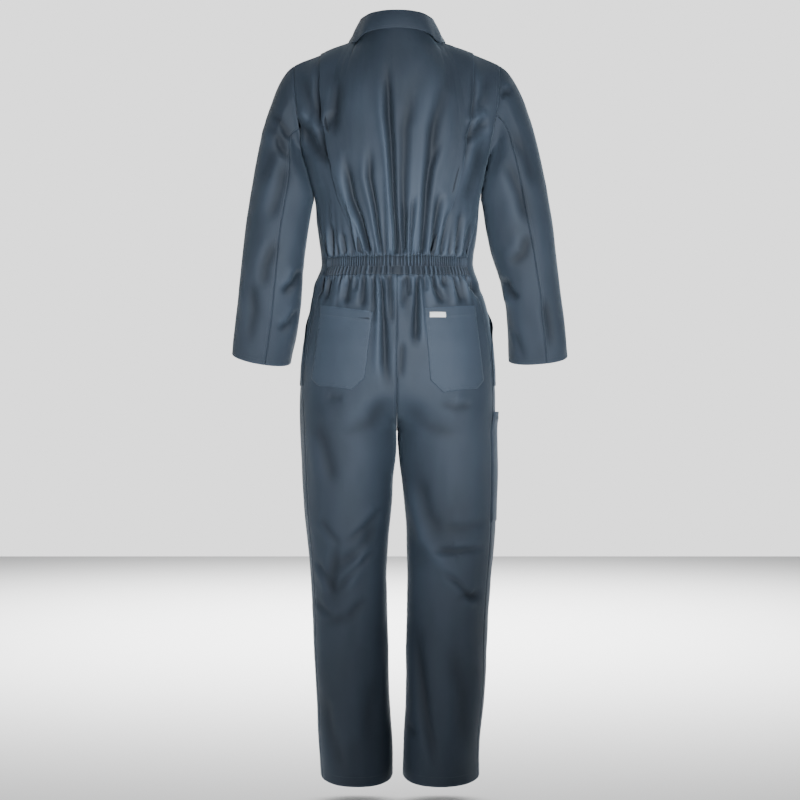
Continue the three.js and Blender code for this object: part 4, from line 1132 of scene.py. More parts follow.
class Stitching:
    """All the thread on the suit, stitch by stitch."""

    PITCH = 3.2
    LENGTH = 2.5
    WIDTH = 0.62
    RISE = 0.34
    SINK = 0.204
    FACES = (
        (0, 1, 2), (0, 2, 3), (0, 3, 4), (0, 4, 1), (5, 2, 1), (5, 3, 2), (5, 4, 3), (5, 1, 4)
    )

    def __init__(self) -> None:
        """Starts with no thread."""
        self.rows: list[Array] = []

    def along(self, points: Array, normals: Array) -> None:
        """Adds one row of stitches, by its line on the cloth's outer face and the normals there."""
        run = lengths_along(points)
        places = np.arange(self.PITCH / 2, run[-1] - self.PITCH / 2, self.PITCH)
        if len(places) < 2:
            return
        normal = unit(read_along(places, run, normals))
        start, middle, end = (
            read_along(places + step * self.LENGTH, run, points) for step in (-0.5, 0, 0.5)
        )
        across = unit(np.cross(end - start, normal)) * self.WIDTH / 2
        top = middle + normal * self.RISE
        foot = middle - normal * self.SINK
        corners = [start, middle + across, top, middle - across, foot, end]
        self.rows.append(np.stack(corners, 1))

    def build(self, name: str) -> Piece:
        """Makes the mesh of every stitch so far."""
        stitches = np.concatenate(self.rows)
        first = stitches.shape[1] * np.arange(len(stitches))[:, None, None]
        faces = (np.array(self.FACES)[None] + first).reshape(-1, 3)
        return new_piece(name, stitches.reshape(-1, 3), faces)


class Shade:
    """A socket's value, written as an expression that adds its own Math nodes."""

    def __init__(self, tree: Tree, socket: bpy.types.NodeSocket) -> None:
        """Wraps one of a material's sockets."""
        self.tree, self.socket = tree, socket

    def _math(self, operation: str, a: Any, b: Any) -> "Shade":
        """One Math node on two values."""
        return add_node(self.tree, "ShaderNodeMath", {"operation": operation}, {0: a, 1: b})

    def __add__(self, other: Any) -> "Shade":
        """The sum."""
        return self._math("ADD", self, other)

    __radd__ = __add__

    def __sub__(self, other: Any) -> "Shade":
        """The difference."""
        return self._math("SUBTRACT", self, other)

    def __mul__(self, other: Any) -> "Shade":
        """The product."""
        return self._math("MULTIPLY", self, other)

    def clamped(self) -> "Shade":
        """The value held from 0 to 1."""
        settings = {"operation": "ADD", "use_clamp": True}
        return add_node(self.tree, "ShaderNodeMath", settings, {0: self, 1: 0.0})


def add_node(
    tree: Tree,
    kind: str,
    settings: dict[str, Any],
    inputs: dict[Any, Any],
    output: Any = 0,
) -> Shade:
    """Adds a node of any type.

    Args:
        tree: the material's nodes.
        kind: the node's type.
        settings: its own settings, set first.
        inputs: a value or a Shade for each socket, by name or number.
        output: the socket that is handed back.

    Returns:
        The wrapped output.
    """
    node = tree.nodes.new(kind)
    for name, value in settings.items():
        setattr(node, name, value)
    for name, value in inputs.items():
        if isinstance(value, Shade):
            tree.links.new(value.socket, node.inputs[name])
        else:
            node.inputs[name].default_value = value
    return Shade(tree, node.outputs[output])


def mix_colours(tree: Tree, share: Any, a: Any, b: Any) -> Shade:
    """Two colours mixed by a share."""
    wrapped = [value if isinstance(value, Shade) else (*value, 1.0) for value in (a, b)]
    return add_node(
        tree, "ShaderNodeMix", {"data_type": "RGBA"}, {0: share, 6: wrapped[0], 7: wrapped[1]}, 2
    )


def noise(tree: Tree, place: Shade, scale: float, detail: float) -> Shade:
    """A soft uneven pattern, from 0 to 1."""
    inputs = {"Vector": place, "Scale": scale, "Detail": detail}
    return add_node(tree, "ShaderNodeTexNoise", {}, inputs, "Fac")


def relief(tree: Tree, height: Shade, strength: float, depth: float) -> Shade:
    """A fine relief of the surface, its depth in metres."""
    inputs = {"Strength": strength, "Distance": depth, "Height": height}
    return add_node(tree, "ShaderNodeBump", {}, inputs, "Normal")


@dataclass(frozen=True)
class Finish:
    """How a surface looks.

    Attributes:
        name: the material's name.
    """

    name: str

    def inputs(self, tree: Tree) -> dict[str, Any]:
        """What goes into the surface's sockets, by their names."""
        raise NotImplementedError

    def material(self) -> Material:
        """Builds the material."""
        made = bpy.data.materials.new(self.name)
        made.use_nodes = True
        tree = made.node_tree
        tree.nodes.clear()
        surface = add_node(tree, "ShaderNodeBsdfPrincipled", {}, self.inputs(tree))
        output = tree.nodes.new("ShaderNodeOutputMaterial")
        tree.links.new(surface.socket, output.inputs["Surface"])
        return made


@dataclass(frozen=True)
class Twill(Finish):
    """Polyester-cotton twill, dyed dark slate, with a faint sheen.

    Attributes:
        name: the material's name.
        dark: its colour where troughs are painted in shade, and where dye and threads are darker.
        light: its colour where ridges are painted lighter, and where dye and threads are lighter.
        sheen, sheen_tint: how much it shines at a glancing angle, and in what colour.
        gloss_tint: the colour of its plain shine.
        rough: its roughness.
        slant: the angle of its ribs, in radians.
        rib_scale, fleck_scale: how fine its ribs and the flecks of its threads are.
        cloud_scale: how fine the dye's unevenness is.
    """

    name: str = "slate_twill"
    dark: Triple = (0.0095, 0.0147, 0.0232)
    light: Triple = (0.041, 0.0597, 0.0888)
    sheen: float = 0.12
    sheen_tint: tuple[float, float, float, float] = (0.55, 0.78, 1.0, 1.0)
    gloss_tint: tuple[float, float, float, float] = (0.88, 0.94, 1.0, 1.0)
    rough: float = 0.66
    slant: float = 1.10
    rib_scale: float = 420.0
    fleck_scale: float = 620.0
    cloud_scale: float = 9.0

    def inputs(self, tree: Tree) -> dict[str, Any]:
        """What goes into the surface's sockets: troughs painted in shade and ridges painted lighter,
        over the cloth's own uneven dye.
        """
        flat = add_node(tree, "ShaderNodeUVMap", {"uv_map": "cloth"}, {}, "UV")
        place = add_node(tree, "ShaderNodeTexCoord", {}, {}, "Object")
        # painted shading read from the cloth: painted shade in troughs, painted highlight on ridges
        wear = add_node(tree, "ShaderNodeAttribute", {"attribute_name": "wear"}, {}, "Fac")
        cloud = noise(tree, place, self.cloud_scale, 4.0)
        fleck = noise(tree, flat, self.fleck_scale, 2.0)
        turn = {"Vector": flat, "Rotation": (0.0, 0.0, self.slant)}
        slanted = add_node(tree, "ShaderNodeMapping", {}, turn)
        wave = {"Vector": slanted, "Scale": self.rib_scale, "Distortion": 0.6, "Detail": 1.0}
        ribs = add_node(tree, "ShaderNodeTexWave", {"wave_type": "BANDS"}, wave, "Fac")
        # mixes painted shading with the real unevenness of the dye, threads and ribs
        share = (wear + cloud * 0.3 + fleck * 0.3 + ribs * 0.12 - 0.32).clamped()
        return {
            "Base Color": mix_colours(tree, share, self.dark, self.light),
            "Roughness": self.rough + (cloud - 0.5) * 0.16,
            "Normal": relief(tree, ribs * 0.5 + fleck * 0.8, 0.35, 0.0006),
            "Sheen Weight": self.sheen,
            "Sheen Roughness": 0.45,
            "Sheen Tint": self.sheen_tint,
            "Specular IOR Level": 0.42,
            "Specular Tint": self.gloss_tint,
        }


@dataclass(frozen=True)
class Plain(Finish):
    """A plain finish with a little unevenness, for thread, metal or tape.

    Attributes:
        colour: its colour.
        rough: its roughness.
        metal: how metallic it is.
        grain: how fine the unevenness is.
    """

    colour: Triple
    rough: float
    metal: float = 0.0
    grain: float = 300.0

    def inputs(self, tree: Tree) -> dict[str, Any]:
        """What goes into the surface's sockets."""
        place = add_node(tree, "ShaderNodeTexCoord", {}, {}, "Object")
        cloud = noise(tree, place, self.grain, 3.0)
        darker = tuple(value * 0.72 for value in self.colour)
        return {
            "Base Color": mix_colours(tree, cloud, darker, self.colour),
            "Roughness": self.rough + (cloud - 0.5) * 0.12,
            "Metallic": self.metal,
            "Normal": relief(tree, cloud, 0.3, 0.0003),
        }


class Edge(Enum):
    """An edge of a panel's grid."""

    FIRST = "first"
    LAST = "last"
    LOW = "low"
    HIGH = "high"


def beside(cloth: Cloth, edge: Edge, inset: float, out: float = 0.05) -> tuple[Array, Array]:
    """A line on a panel at a distance in from one of its edges.

    Args:
        cloth: the panel.
        edge: which edge.
        inset: how far in, along the cloth.
        out: how far above its face.

    Returns:
        The line's points and normals.
    """
    u, v = cloth.arcs()
    across = edge in (Edge.FIRST, Edge.LAST)
    run = u if across else v.T
    from_start = edge in (Edge.FIRST, Edge.LOW)
    away = run if from_start else run[:, -1:] - run
    order = slice(None, None, 1 if from_start else -1)
    numbers = np.arange(run.shape[1], dtype=float)[order]
    place = np.array([np.interp(inset, line[order], numbers) for line in away])
    along = np.arange(len(place), dtype=float)
    rows, columns = (along, place) if across else (place, along)
    return cloth.sample(rows, columns, out)


def turned(cloth: Cloth, edge: Edge, reach: float, radius: float = 1.1, steps: int = 5) -> Cloth:
    """A panel with one edge folded back under itself, as at a hem.

    Args:
        cloth: the panel.
        edge: the edge that is folded.
        reach: how far the folded part runs back.
        radius: the fold's radius.
        steps: how many columns go round the fold.
    """

    def facing(values: Array) -> Array:
        if edge in (Edge.LOW, Edge.HIGH):
            values = np.swapaxes(values, 0, 1)
        return values[:, ::-1] if edge in (Edge.FIRST, Edge.LOW) else values

    points, normals, wear = (facing(v) for v in (cloth.points, cloth.normals, cloth.wear))
    end, normal = points[:, -1], normals[:, -1]
    way = points[:, -1] - points[:, -3]
    way = unit(way - normal * dot(way, normal))
    more_points, more_normals = [], []
    for turn in np.linspace(0, math.pi, steps + 1)[1:]:
        more_points.append(
            end + way * radius * math.sin(turn) - normal * radius * (1 - math.cos(turn))
        )
        more_normals.append(normal * math.cos(turn) + way * math.sin(turn))
    for back in np.linspace(0, reach, 5)[1:]:
        more_points.append(end - normal * 2 * radius - way * back)
        more_normals.append(-normal)
    points = np.concatenate([points, np.stack(more_points, 1)], 1)
    normals = np.concatenate([normals, np.stack(more_normals, 1)], 1)
    # painted shading: the part turned under is painted darkest, in painted shade, and the rolled edge
    # painted lighter, as a painted highlight
    wear = np.concatenate([wear, np.zeros((len(wear), len(more_points)))], 1)
    wear[:, -len(more_points) - 1 : -len(more_points) + 2] += 0.5

    def restored(values: Array) -> Array:
        values = values[:, ::-1] if edge in (Edge.FIRST, Edge.LOW) else values
        return np.swapaxes(values, 0, 1) if edge in (Edge.LOW, Edge.HIGH) else values

    return Cloth(restored(points), restored(normals), restored(wear))


def joined(halves: dict[Side, Cloth]) -> Cloth:
    """Both halves of a panel as one sheet, from the wearer's right to the left."""
    left, right = halves[Side.LEFT], halves[Side.RIGHT]
    return Cloth(*(
        np.concatenate([getattr(right, part)[:, :0:-1], getattr(left, part)], 1)
        for part in ("points", "normals", "wear")
    ))


@dataclass(frozen=True)
class Gathers:
    """Puckers where the elastic draws the back in.

    Attributes:
        fine, broad: pitch of the small puckers and of the larger folds between them.
        fine_height, broad_height: how high they stand.
        fine_reach, broad_reach: how fast they fade away from the casing.
        coarser: how much wider the small puckers are below the row of stitches.
        end: how far from the middle they end.
        fine_rows, broad_rows: their rows of the noise, above and below.
        noise: what makes them uneven.
    """

    fine: float = 5.0
    fine_height: float = 2.7
    fine_reach: float = 16.0
    broad: float = 21.0
    broad_height: float = 4.2
    broad_reach: float = 38.0
    coarser: float = 1.7
    end: float = 196.0
    fine_rows: tuple[float, float] = (3.5, 11.5)
    broad_rows: tuple[float, float] = (19.5, 23.5)
    noise: SoftNoise = field(default_factory=lambda: SoftNoise(29))

    def wander(self, across: Array, row: float, scale: float) -> Array:
        """Irregularity along the band."""
        return self.noise.at(xyz(across, row, 0.0), (scale, 1.0, 1.0))

    def ridges(self, across: Array, pitch: float, row: float) -> Array:
        """Rounded ridges with sharp valleys, from -1 to 1."""
        phase = across / pitch + 0.42 * self.wander(across, row, 2.1 * pitch)
        height = 2 * np.abs(np.cos(math.pi * phase)) ** 1.2 - 1.1
        return height * (0.72 + 0.4 * self.wander(across, row + 7.5, 1.7 * pitch))

    def at(self, across: Array, z: Array) -> Array:
        """How far the puckers move the cloth out.

        Args:
            across: distance along the back from its middle.
            z: the heights.

        Returns:
            Heights in millimetres.
        """
        away, above = from_casing(z), z > WAIST_STITCH_Z
        row = np.where(above, *self.fine_rows)
        local = 1 + 0.7 * self.noise.at(xyz(across, row, 5.5), (15.0, 1.0, 1.0))
        upper, lower = self.fine_rows
        coarse = self.ridges(across, self.fine * self.coarser, lower)
        fine = np.where(above, self.ridges(across, self.fine, upper), coarse)
        broad = np.where(above, *(
            self.ridges(across, self.broad, number) for number in self.broad_rows
        ))
        total = self.fine_height * fine * np.exp(-away / (self.fine_reach * local))
        broad = self.broad_height * broad * np.exp(-away / (self.broad_reach * local))
        total += broad * smooth(away / 9)
        return total * (1 - smooth((np.abs(across) - self.end) / 14))


GATHERED = Gathers()


def spread(low: float, high: float, steps: int) -> Array:
    """Evenly spaced values, both ends counted."""
    return np.linspace(low, high, steps + 1)


def stretches(ends: Sequence[float], steps: Sequence[int]) -> Array:
    """Evenly spaced values over stretches that follow each other, each with its own steps."""
    parts = [spread(low, high, count) for low, high, count in zip(ends, ends[1:], steps)]
    return np.concatenate([parts[0], *(part[1:] for part in parts[1:])])


def body_sheet(side: Side, back: bool, share: Array, level: Array, out: Array) -> Cloth:
    """The cloth on part of one side, with its folds.

    Args:
        side: the wearer's side.
        back: whether shares are counted on the back.
        share: grid of shares.
        level: grid of levels.
        out: how far the outer face stands above the form.
    """
    point, normal = FORM.surface(side, back)(share, level)
    folds = BODY_FOLDS.height(point)
    x, y, z = np.moveaxis(point, -1, 0)
    gathers = np.zeros(folds.shape)
    if back:
        drawn_in = (y > 0) & (z > CROTCH_START_Z)
        gathers = np.where(drawn_in, GATHERED.at(share * BACK_ARC * side.value, z), 0.0)
    arm = bell(z - ARM_Z, 34) * smooth((np.abs(x) - 150) / 30)  # only at the side
    folds *= 1 - smooth((y + 30) / 60) * (1 - smooth(from_casing(z) / 15))
    # painted shading: troughs of folds and gathers painted in shade, their ridges painted lighter
    sheet = Cloth(point, normal, crest(folds + 3.6 * gathers))
    sheet = sheet.raised(out + folds + gathers + ARM_BULGE * arm)
    sheet.points[..., 2] += ruffle(point)
    return sheet


@dataclass(frozen=True)
class Cut:
    """The flat piece that a sheet was cut from.

    Attributes:
        width: its width in millimetres.
        length: its length.
        share: how much of that rectangle it fills.
        held: how the cloth is held; not used.
    """

    width: float
    length: float
    share: float = 1.0
    held: Hold = Hold.HUNG


@dataclass
class Section:
    """One sub-assembly of the suit.

    Attributes:
        thread: the suit's stitching, which every part adds to.
        pieces: the objects it has made, with their cuts.
    """

    thread: Stitching
    pieces: list[tuple[Piece, Cut]] = field(default_factory=list)

    def keep(self, cloth: Cloth, name: str, cut: Cut, wall: Any = SEEN_WALL) -> None:
        """Makes the piece that stands for the solid of the same name.

        Args:
            cloth: its sheet.
            name: the solid's name.
            cut: the flat piece that it was cut from.
            wall: its thickness, one number or one per place.
        """
        self.pieces.append((cloth.shell("cloth_" + name, wall), cut))

    def build(self) -> None:
        """Makes the pieces."""
        raise NotImplementedError

    def dress(self, finish: Material, slot: str = "cloth") -> None:
        for piece, cut in self.pieces:
            piece.data.materials.append(finish)
            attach(piece, "root")
            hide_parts(piece.name.removeprefix("cloth_"))
            flat = (cut.width / METRE, cut.length / METRE)
            flat[0] * flat[1] * cut.share

    def row(self, cloth: Cloth, edge: Edge, *insets: float) -> None:
        """Sews rows of stitches beside an edge."""
        for inset in insets:
            self.thread.along(*beside(cloth, edge, inset))


@dataclass
class Back(Section):
    """The back above the waist: a centre panel that laps over two side panels.

    Attributes:
        columns: columns in each half of the centre.
        rows: rows below and above the armpit.
        side_columns: columns in a side panel.
        tuck: how far the centre's edge is folded under.
        wobble: what makes the pleats' edges uneven.
    """

    columns: int = 88
    rows: tuple[int, int] = (84, 124)
    side_columns: int = 36
    tuck: float = 11.0
    wobble: SoftNoise = field(default_factory=lambda: SoftNoise(41))

    def levels(self) -> Array:
        """The rows' levels."""
        return stretches((0, 1, 2), self.rows)

    def seam(self, level: Array) -> Array:
        """The share at which the back meets the front."""
        return 1 - FORM.wrap_at(level)

    def pleat(self, side: Side, level: Array) -> Array:
        """The share at the pleat's edge, a little uneven."""
        z = lerp(WAIST_TOP_Z, 0.0, level / 2)
        uneven = self.wobble.at(xyz(side.value * 31.0, 0, z), (9.0, 9.0, 21.0))
        fade = smooth((2 - level) / 0.2) * smooth(level / 0.1)
        return FORM.pleat_share(side, level) + 0.008 * uneven * fade

    def build(self) -> None:
        """Makes the three panels."""
        levels = self.levels()
        halves = {}
        for side in Side:
            share, level = np.meshgrid(spread(0, 1, self.columns), levels)
            share = share * self.pleat(side, levels)[:, None]
            standing = smooth((spread(0, 1, self.columns)[None] - 0.8) / 0.2)
            puff = PLEAT_PUFF * standing * hump(np.minimum(level, 2) / 2)
            halves[side] = body_sheet(side, True, share, level, CLOTH + PLEAT_RISE + puff)
        centre = joined(halves).sewn(Seams(0, 0, 1, 1))
        self.row(centre, Edge.HIGH, 5.0)
        self.row(centre, Edge.LOW, 1.6)
        centre = turned(turned(centre, Edge.FIRST, self.tuck), Edge.LAST, self.tuck)
        self.keep(centre, "back_centre", Cut(430, 560, 0.72, Hold.GATHERED))
        for side in Side:
            self.build_side(side, levels)

    def build_side(self, side: Side, levels: Array) -> None:
        """Makes one side panel, from under the pleat to the armhole and side seam."""
        pleat, seam = self.pleat(side, levels), self.seam(levels)
        across, level = np.meshgrid(spread(0, 1, self.side_columns), levels)
        share = lerp((pleat * 0.88)[:, None], seam[:, None], across)
        panel = body_sheet(side, True, share, level, np.full(share.shape, CLOTH))
        panel = panel.sewn(Seams(0, 1, 1, 1))
        self.row(panel, Edge.LAST, *FELLED)
        self.row(panel, Edge.LOW, 1.6)
        self.row(panel, Edge.HIGH, 5.0)
        self.keep(panel, "back_side_" + side.word, Cut(150, 540, 0.72, Hold.GATHERED))


@dataclass
class Waistband(Section):
    """The casing across the back, drawn in by its elastic.

    Attributes:
        columns: columns in each half.
        rows: rows from its lower seam to its upper one.
        puffs: how far it stands out below and above the row of stitches.
        rounds: powers that make the two puffs round.
    """

    columns: int = 240
    rows: int = 26
    puffs: tuple[float, float] = (1.1, 2.4)
    rounds: tuple[float, float] = (0.8, 0.6)

    def build(self) -> None:
        """Makes the casing and sews both sides of the elastic."""
        z = spread(WAIST_BOTTOM_Z, WAIST_TOP_Z, self.rows)
        halves = {}
        for side in Side:
            across, level = np.meshgrid(spread(0, 1, self.columns), level_of(z))
            share = across * (1 - FORM.wrap(height_of(level)))
            point, normal = FORM.surface(side, True)(share, level)
            here = point[..., 2]
            high = np.clip((here - WAIST_STITCH_Z) / (WAIST_TOP_Z - WAIST_STITCH_Z), 0, 1)
            low = np.clip((WAIST_STITCH_Z - here) / (WAIST_STITCH_Z - WAIST_BOTTOM_Z), 0, 1)
            puff = sum(
                height * hump(part) ** rounding
                for part, height, rounding in zip((low, high), self.puffs, self.rounds)
            )
            swell = 1 + 0.5 * hump(high)
            gathers = GATHERED.at(share * BACK_ARC * side.value, here) * swell
            # painted shading: the whole casing painted darker, with painted shade in the troughs of
            # its gathers
            half = Cloth(point, normal, crest(8.0 * gathers - 13.0))
            halves[side] = half.raised(CLOTH + 0.3 + puff + gathers)
            halves[side].points[..., 2] += ruffle(point)
        band = joined(halves).sewn(Seams(1, 1, 1, 0.3), 0.8, 0.0)
        line = np.full(band.points.shape[1], np.interp(WAIST_STITCH_Z, z, np.arange(len(z))))
        self.thread.along(*band.sample(line, np.arange(len(line), dtype=float), 0.1))
        self.row(band, Edge.LOW, 1.8)
        self.keep(band, "waistband_back", Cut(470, 44, 1.0, Hold.GATHERED))


@dataclass
class LongPanels(Section):
    """Panels that run down to a hem, one on each side.

    Attributes:
        hem: how far the hem is turned in.
    """

    hem: float = 22.0

    def panel(
        self, side: Side, back: bool, grid_of: tuple[Array, Array], rows: dict[Edge, Insets]
    ) -> Cloth:
        """One panel, sewn and hemmed.

        Args:
            side: the wearer's side.
            back: whether it is on the back.
            grid_of: its shares and levels.
            rows: the rows of stitches beside its edges.
        """
        share, level = grid_of
        panel = body_sheet(side, back, share, level, np.full(share.shape, CLOTH))
        eased_at(panel, CROTCH_Z)
        panel = panel.sewn(Seams(1, 1, 0, 1))
        kept_to_side(panel, side)
        for edge, insets in rows.items():
            self.row(panel, edge, *insets)
        self.row(panel, Edge.LOW, self.hem - 2)
        return turned(panel, Edge.LOW, self.hem)


@dataclass
class Fronts(LongPanels):
    """The two fronts, each from the shoulder to the hem.

    Attributes:
        columns: columns across a front.
        rows: rows below the crotch, up to the armpit, and above it.
    """

    columns: int = 58
    rows: tuple[int, int, int] = (112, 100, 50)

    def build(self) -> None:
        """Makes both fronts."""
        ends = (level_of(HEM_Z), level_of(CROTCH_Z), 1, 2)
        levels = stretches(ends, self.rows)
        for side in Side:
            across, level = np.meshgrid(spread(0, 1, self.columns), levels)
            share = across * (1 + FORM.wrap_at(level))
            panel = self.panel(side, False, (share, level), {Edge.LAST: FELLED[:1]})
            self.keep(panel, "front_" + side.word, Cut(420, 1700, 0.78))


@dataclass
class BackLegs(LongPanels):
    """The backs of both legs and the seat.

    Attributes:
        columns: columns across one.
        rows: rows below the crotch and above it.
    """

    columns: int = 78
    rows: tuple[int, int] = (208, 108)

    def build(self) -> None:
        """Makes both panels; the seat's seam is felled over the left one."""
        ends = (level_of(HEM_Z), level_of(CROTCH_Z), level_of(WAIST_BOTTOM_Z))
        levels = stretches(ends, self.rows)
        for side in Side:
            across, level = np.meshgrid(spread(0, 1, self.columns), levels)
            share = across * (1 - FORM.wrap(height_of(level)))
            seat = {Edge.FIRST: FELLED} if side is Side.LEFT else {}
            rows = {**seat, Edge.LAST: FELLED, Edge.HIGH: FELLED[:1]}
            panel = self.panel(side, True, (share, level), rows)
            self.keep(panel, "leg_back_" + side.word, Cut(330, 1160, 0.78))


def kept_to_side(panel: Cloth, side: Side) -> None:
    """Keeps a panel's points on their own side of the middle, and its seam on the middle."""
    x = np.maximum(panel.points[..., 0] * side.value, HALF_SEAM)
    joined = panel.points[..., 2] > CROTCH_Z
    middle = 0 if abs(x[-1, 0]) < abs(x[-1, -1]) else -1
    x[joined[:, middle], middle] = HALF_SEAM
    panel.points[..., 0] = x * side.value


def eased_at(
    panel: Cloth, z: float, reach: float = 34.0, border: float = 0.08, rounds: int = 70
) -> None:
    """Eases a panel up and down around one height, away from its seams.

    Args:
        panel: the panel, which is changed.
        z: the height.
        reach: how far above and below the easing reaches.
        border: share of its width that is left alone at each seam.
        rounds: how often it is eased.
    """
    across = np.linspace(0, 1, panel.points.shape[1])
    share = 0.5 * smooth(across / border) * smooth((1 - across) / border)
    share = share * bell(panel.points[..., 2] - z, reach)
    for _ in range(rounds):
        bend = panel.points[:-2] + panel.points[2:] - 2 * panel.points[1:-1]
        panel.points[1:-1] += share[1:-1, :, None] * bend


@dataclass
class Sleeves(Section):
    """Both sleeves, each of a top and an under piece.

    Attributes:
        hind_seam: where the hind seam runs, in degrees round from the outside.
        hind_ease: how much further round it starts at the armhole.
        fore_seam: where the seam at the front runs.
        columns: columns in the top piece and in the under piece.
        rows: rows in the cap and below it.
        hem: how far the cuff is turned in.
        under_bulge: how far the inner side bulges below the armpit.
        under_z: height where it bulges most.
    """

    hind_seam: tuple[float, float] = (98.0, 77.0)
    hind_ease: float = 10.0
    fore_seam: float = 222.0
    columns: tuple[int, int] = (78, 46)
    rows: tuple[int, int] = (58, 88)
    hem: float = 14.0
    under_bulge: float = 6.5
    under_z: float = -312.0

    def build(self) -> None:
        """Makes the four pieces."""
        lengths = stretches((0, 1, 2), self.rows)
        for side, hind in zip(Side, self.hind_seam):
            form = SleeveForm(side)
            for part, columns in zip(("top", "under"), self.columns):
                across, length = np.meshgrid(spread(0, 1, columns), lengths)
                hind_line = hind + self.hind_ease * (1 - smooth(length / 1.3))
                if part == "top":
                    angle = lerp(self.fore_seam - 360, hind_line, across)
                else:
                    angle = lerp(hind_line, self.fore_seam, across)
                point, normal = form.surface(angle, length)
                folds = SLEEVE_FOLDS.height(point) * smooth(length / 0.12)
                inner = smooth(-normal[..., 0] * side.value / 0.6)
                under = self.under_bulge * inner * bell(point[..., 2] - self.under_z, 36)
                # painted shading: troughs of the sleeve's folds painted in shade, ridges painted
                # lighter
                sleeve = Cloth(point, normal, crest(folds)).raised(CLOTH + folds + under)
                sleeve = sleeve.sewn(Seams(1, 1, 1, 0))
                if part == "top":
                    self.row(sleeve, Edge.LAST, 2.0, 7.0)
                    self.row(sleeve, Edge.FIRST, 2.0)
                self.row(sleeve, Edge.HIGH, self.hem - 2)
                sleeve = turned(sleeve, Edge.HIGH, self.hem)
                width = 330 if part == "top" else 150
                self.keep(sleeve, f"sleeve_{part}_{side.word}", Cut(width, 680, 0.8))


@dataclass
class Collar(Section):
    """A collar that rises from the neck seam, turns over and falls.

    Attributes:
        wall: its thickness, of two layers and their interlining.
        turn: radius of the roll.
        lift: gap above the neck seam at the back.
        front_lift: what the gap gains at the front.
        swell: how far the fall bows out.
        corner: where the edge hangs lowest behind, in degrees from the nape.
        corner_drop: how much lower it hangs there.
        columns: columns round the neck.
    """

    wall: float = 1.8
    turn: float = 3.2
    lift: float = 1.6
    front_lift: float = 2.4
    swell: float = 2.9
    corner: float = 68.0
    corner_drop: float = 12.0
    columns: int = 190

    def paths(self, angle: Array) -> Array:
        """Lines from the neck seam over the roll to the fall's edge, one per angle."""
        size, sign = np.abs(angle), np.where(angle < 0, -1.0, 1.0)
        line = {name: COLLAR_LINE.curve(name)(size) for name in COLLAR_LINE.columns[1:]}
        neck = FORM.neck(size)
        level = unit(xyz(neck[:, 0], neck[:, 1] - NECK_MIDDLE_Y, 0.0))
        seam = neck.copy()
        seam[:, 2] += self.lift + self.front_lift * smooth((size - 60) / 60)
        roll = neck + level * line["stand_out"][:, None]
        roll[:, 2] = line["roll_z"] - self.turn
        hub = roll + level * self.turn
        drop = self.corner_drop * bell(size - self.corner, 19)
        edge = xyz(line["edge_x"], line["edge_y"], line["edge_z"] - drop)
        steps = [lerp(seam, roll, t) for t in spread(0, 1, 8)[:-1]]
        for turn in np.radians(spread(0, 180, 10)):
            across = -level * self.turn * math.cos(turn)
            steps.append(hub + across + np.array([0, 0, self.turn * math.sin(turn)]))
        over = steps[-1]
        bow = level * self.swell * 1.3
        ends = (over, lerp(over, edge, 1 / 3) + bow, lerp(over, edge, 2 / 3) + bow, edge)
        steps += [bezier(ends, np.array(t)) for t in spread(0, 1, 20)[1:]]
        return np.stack(steps, 1) * xyz(sign, 1.0, 1.0)[:, None]

    def build(self) -> None:
        """Makes the collar and sews round its edge."""
        reach = COLLAR_LINE.rows[-1][0]
        middle = self.paths(spread(-reach, reach, self.columns))
        along, around = np.gradient(middle, axis=1), np.gradient(middle, axis=0)
        normal = unit(np.cross(along, around))
        outward = middle[:, -4] * np.array([1.0, 1.0, 0.0])
        if np.sum(normal[:, -4] * outward) < 0:
            normal = -normal
        collar = Cloth(middle + normal * self.wall / 2, normal)
        thick = self.wall * np.ones(middle.shape[:2])
        for inset, low in ((0, 0.55), (1, 0.85)):
            for index in ((slice(None), -1 - inset), (inset, slice(None)),
                          (-1 - inset, slice(None))):
                thick[index] *= low
        collar = collar.sewn(Seams(0.5, 0.5, 0, 0.4), 0.6, 0.15)
        self.row(collar, Edge.LAST, 6.0)
        self.keep(collar, "collar", Cut(440, 140, 0.85, Hold.FOLDED), thick)


@dataclass(frozen=True)
class PocketShape:
    """A back pocket by its corners, in the back view.

    Attributes:
        inner_top, outer_top: the upper corners, towards the middle and the side.
        inner_low, outer_low: the lower corners, before they are cut.
        cut: share of the height where the lower corners are cut.
        cut_side: share of the width that each cut takes.
    """

    inner_top: tuple[float, float]
    outer_top: tuple[float, float]
    inner_low: tuple[float, float]
    outer_low: tuple[float, float]
    cut: float = 0.15
    cut_side: float = 0.22

    @property
    def height(self) -> float:
        """Its height at its inner edge."""
        return self.inner_top[1] - self.inner_low[1]

    def at(self, across: Array, up: Array) -> tuple[Array, Array]:
        """Distances from the suit's middle, and heights, of a grid on the pocket."""
        top = lerp(self.inner_top[1], self.outer_top[1], across)
        low = lerp(self.inner_low[1], self.outer_low[1], across)
        z = lerp(low, top, up)
        down = np.clip((self.inner_top[1] - z) / self.height, 0, 1)
        cut = np.clip((down - (1 - self.cut)) / self.cut, 0, 1) * self.cut_side
        inner = lerp(self.inner_top[0], self.inner_low[0], down)
        outer = lerp(self.outer_top[0], self.outer_low[0], down)
        x = lerp(lerp(inner, outer, cut), lerp(outer, inner, cut), across)
        return x, z


def patch_sheet(
    side: Side, back: bool, share: Array, z: Array, out: Array, soften: float = 0.55
) -> Cloth:
    """The cloth of a patch that lies on a body panel.

    Args:
        side: the wearer's side.
        back: whether shares are counted on the back.
        share: grid of shares.
        z: grid of heights.
        out: how far its outer face stands above the form.
        soften: how much of the panel's folds the patch follows.
    """
    point, normal = FORM.surface(side, back)(share, level_of(z))
    folds = BODY_FOLDS.height(point) * soften
    # painted shading: a patch painted lighter than its panel, as a painted highlight, with painted
    # shade in its folds' troughs
    return Cloth(point, normal, crest(0.8 * folds + PATCH_CREST)).raised(out + folds)


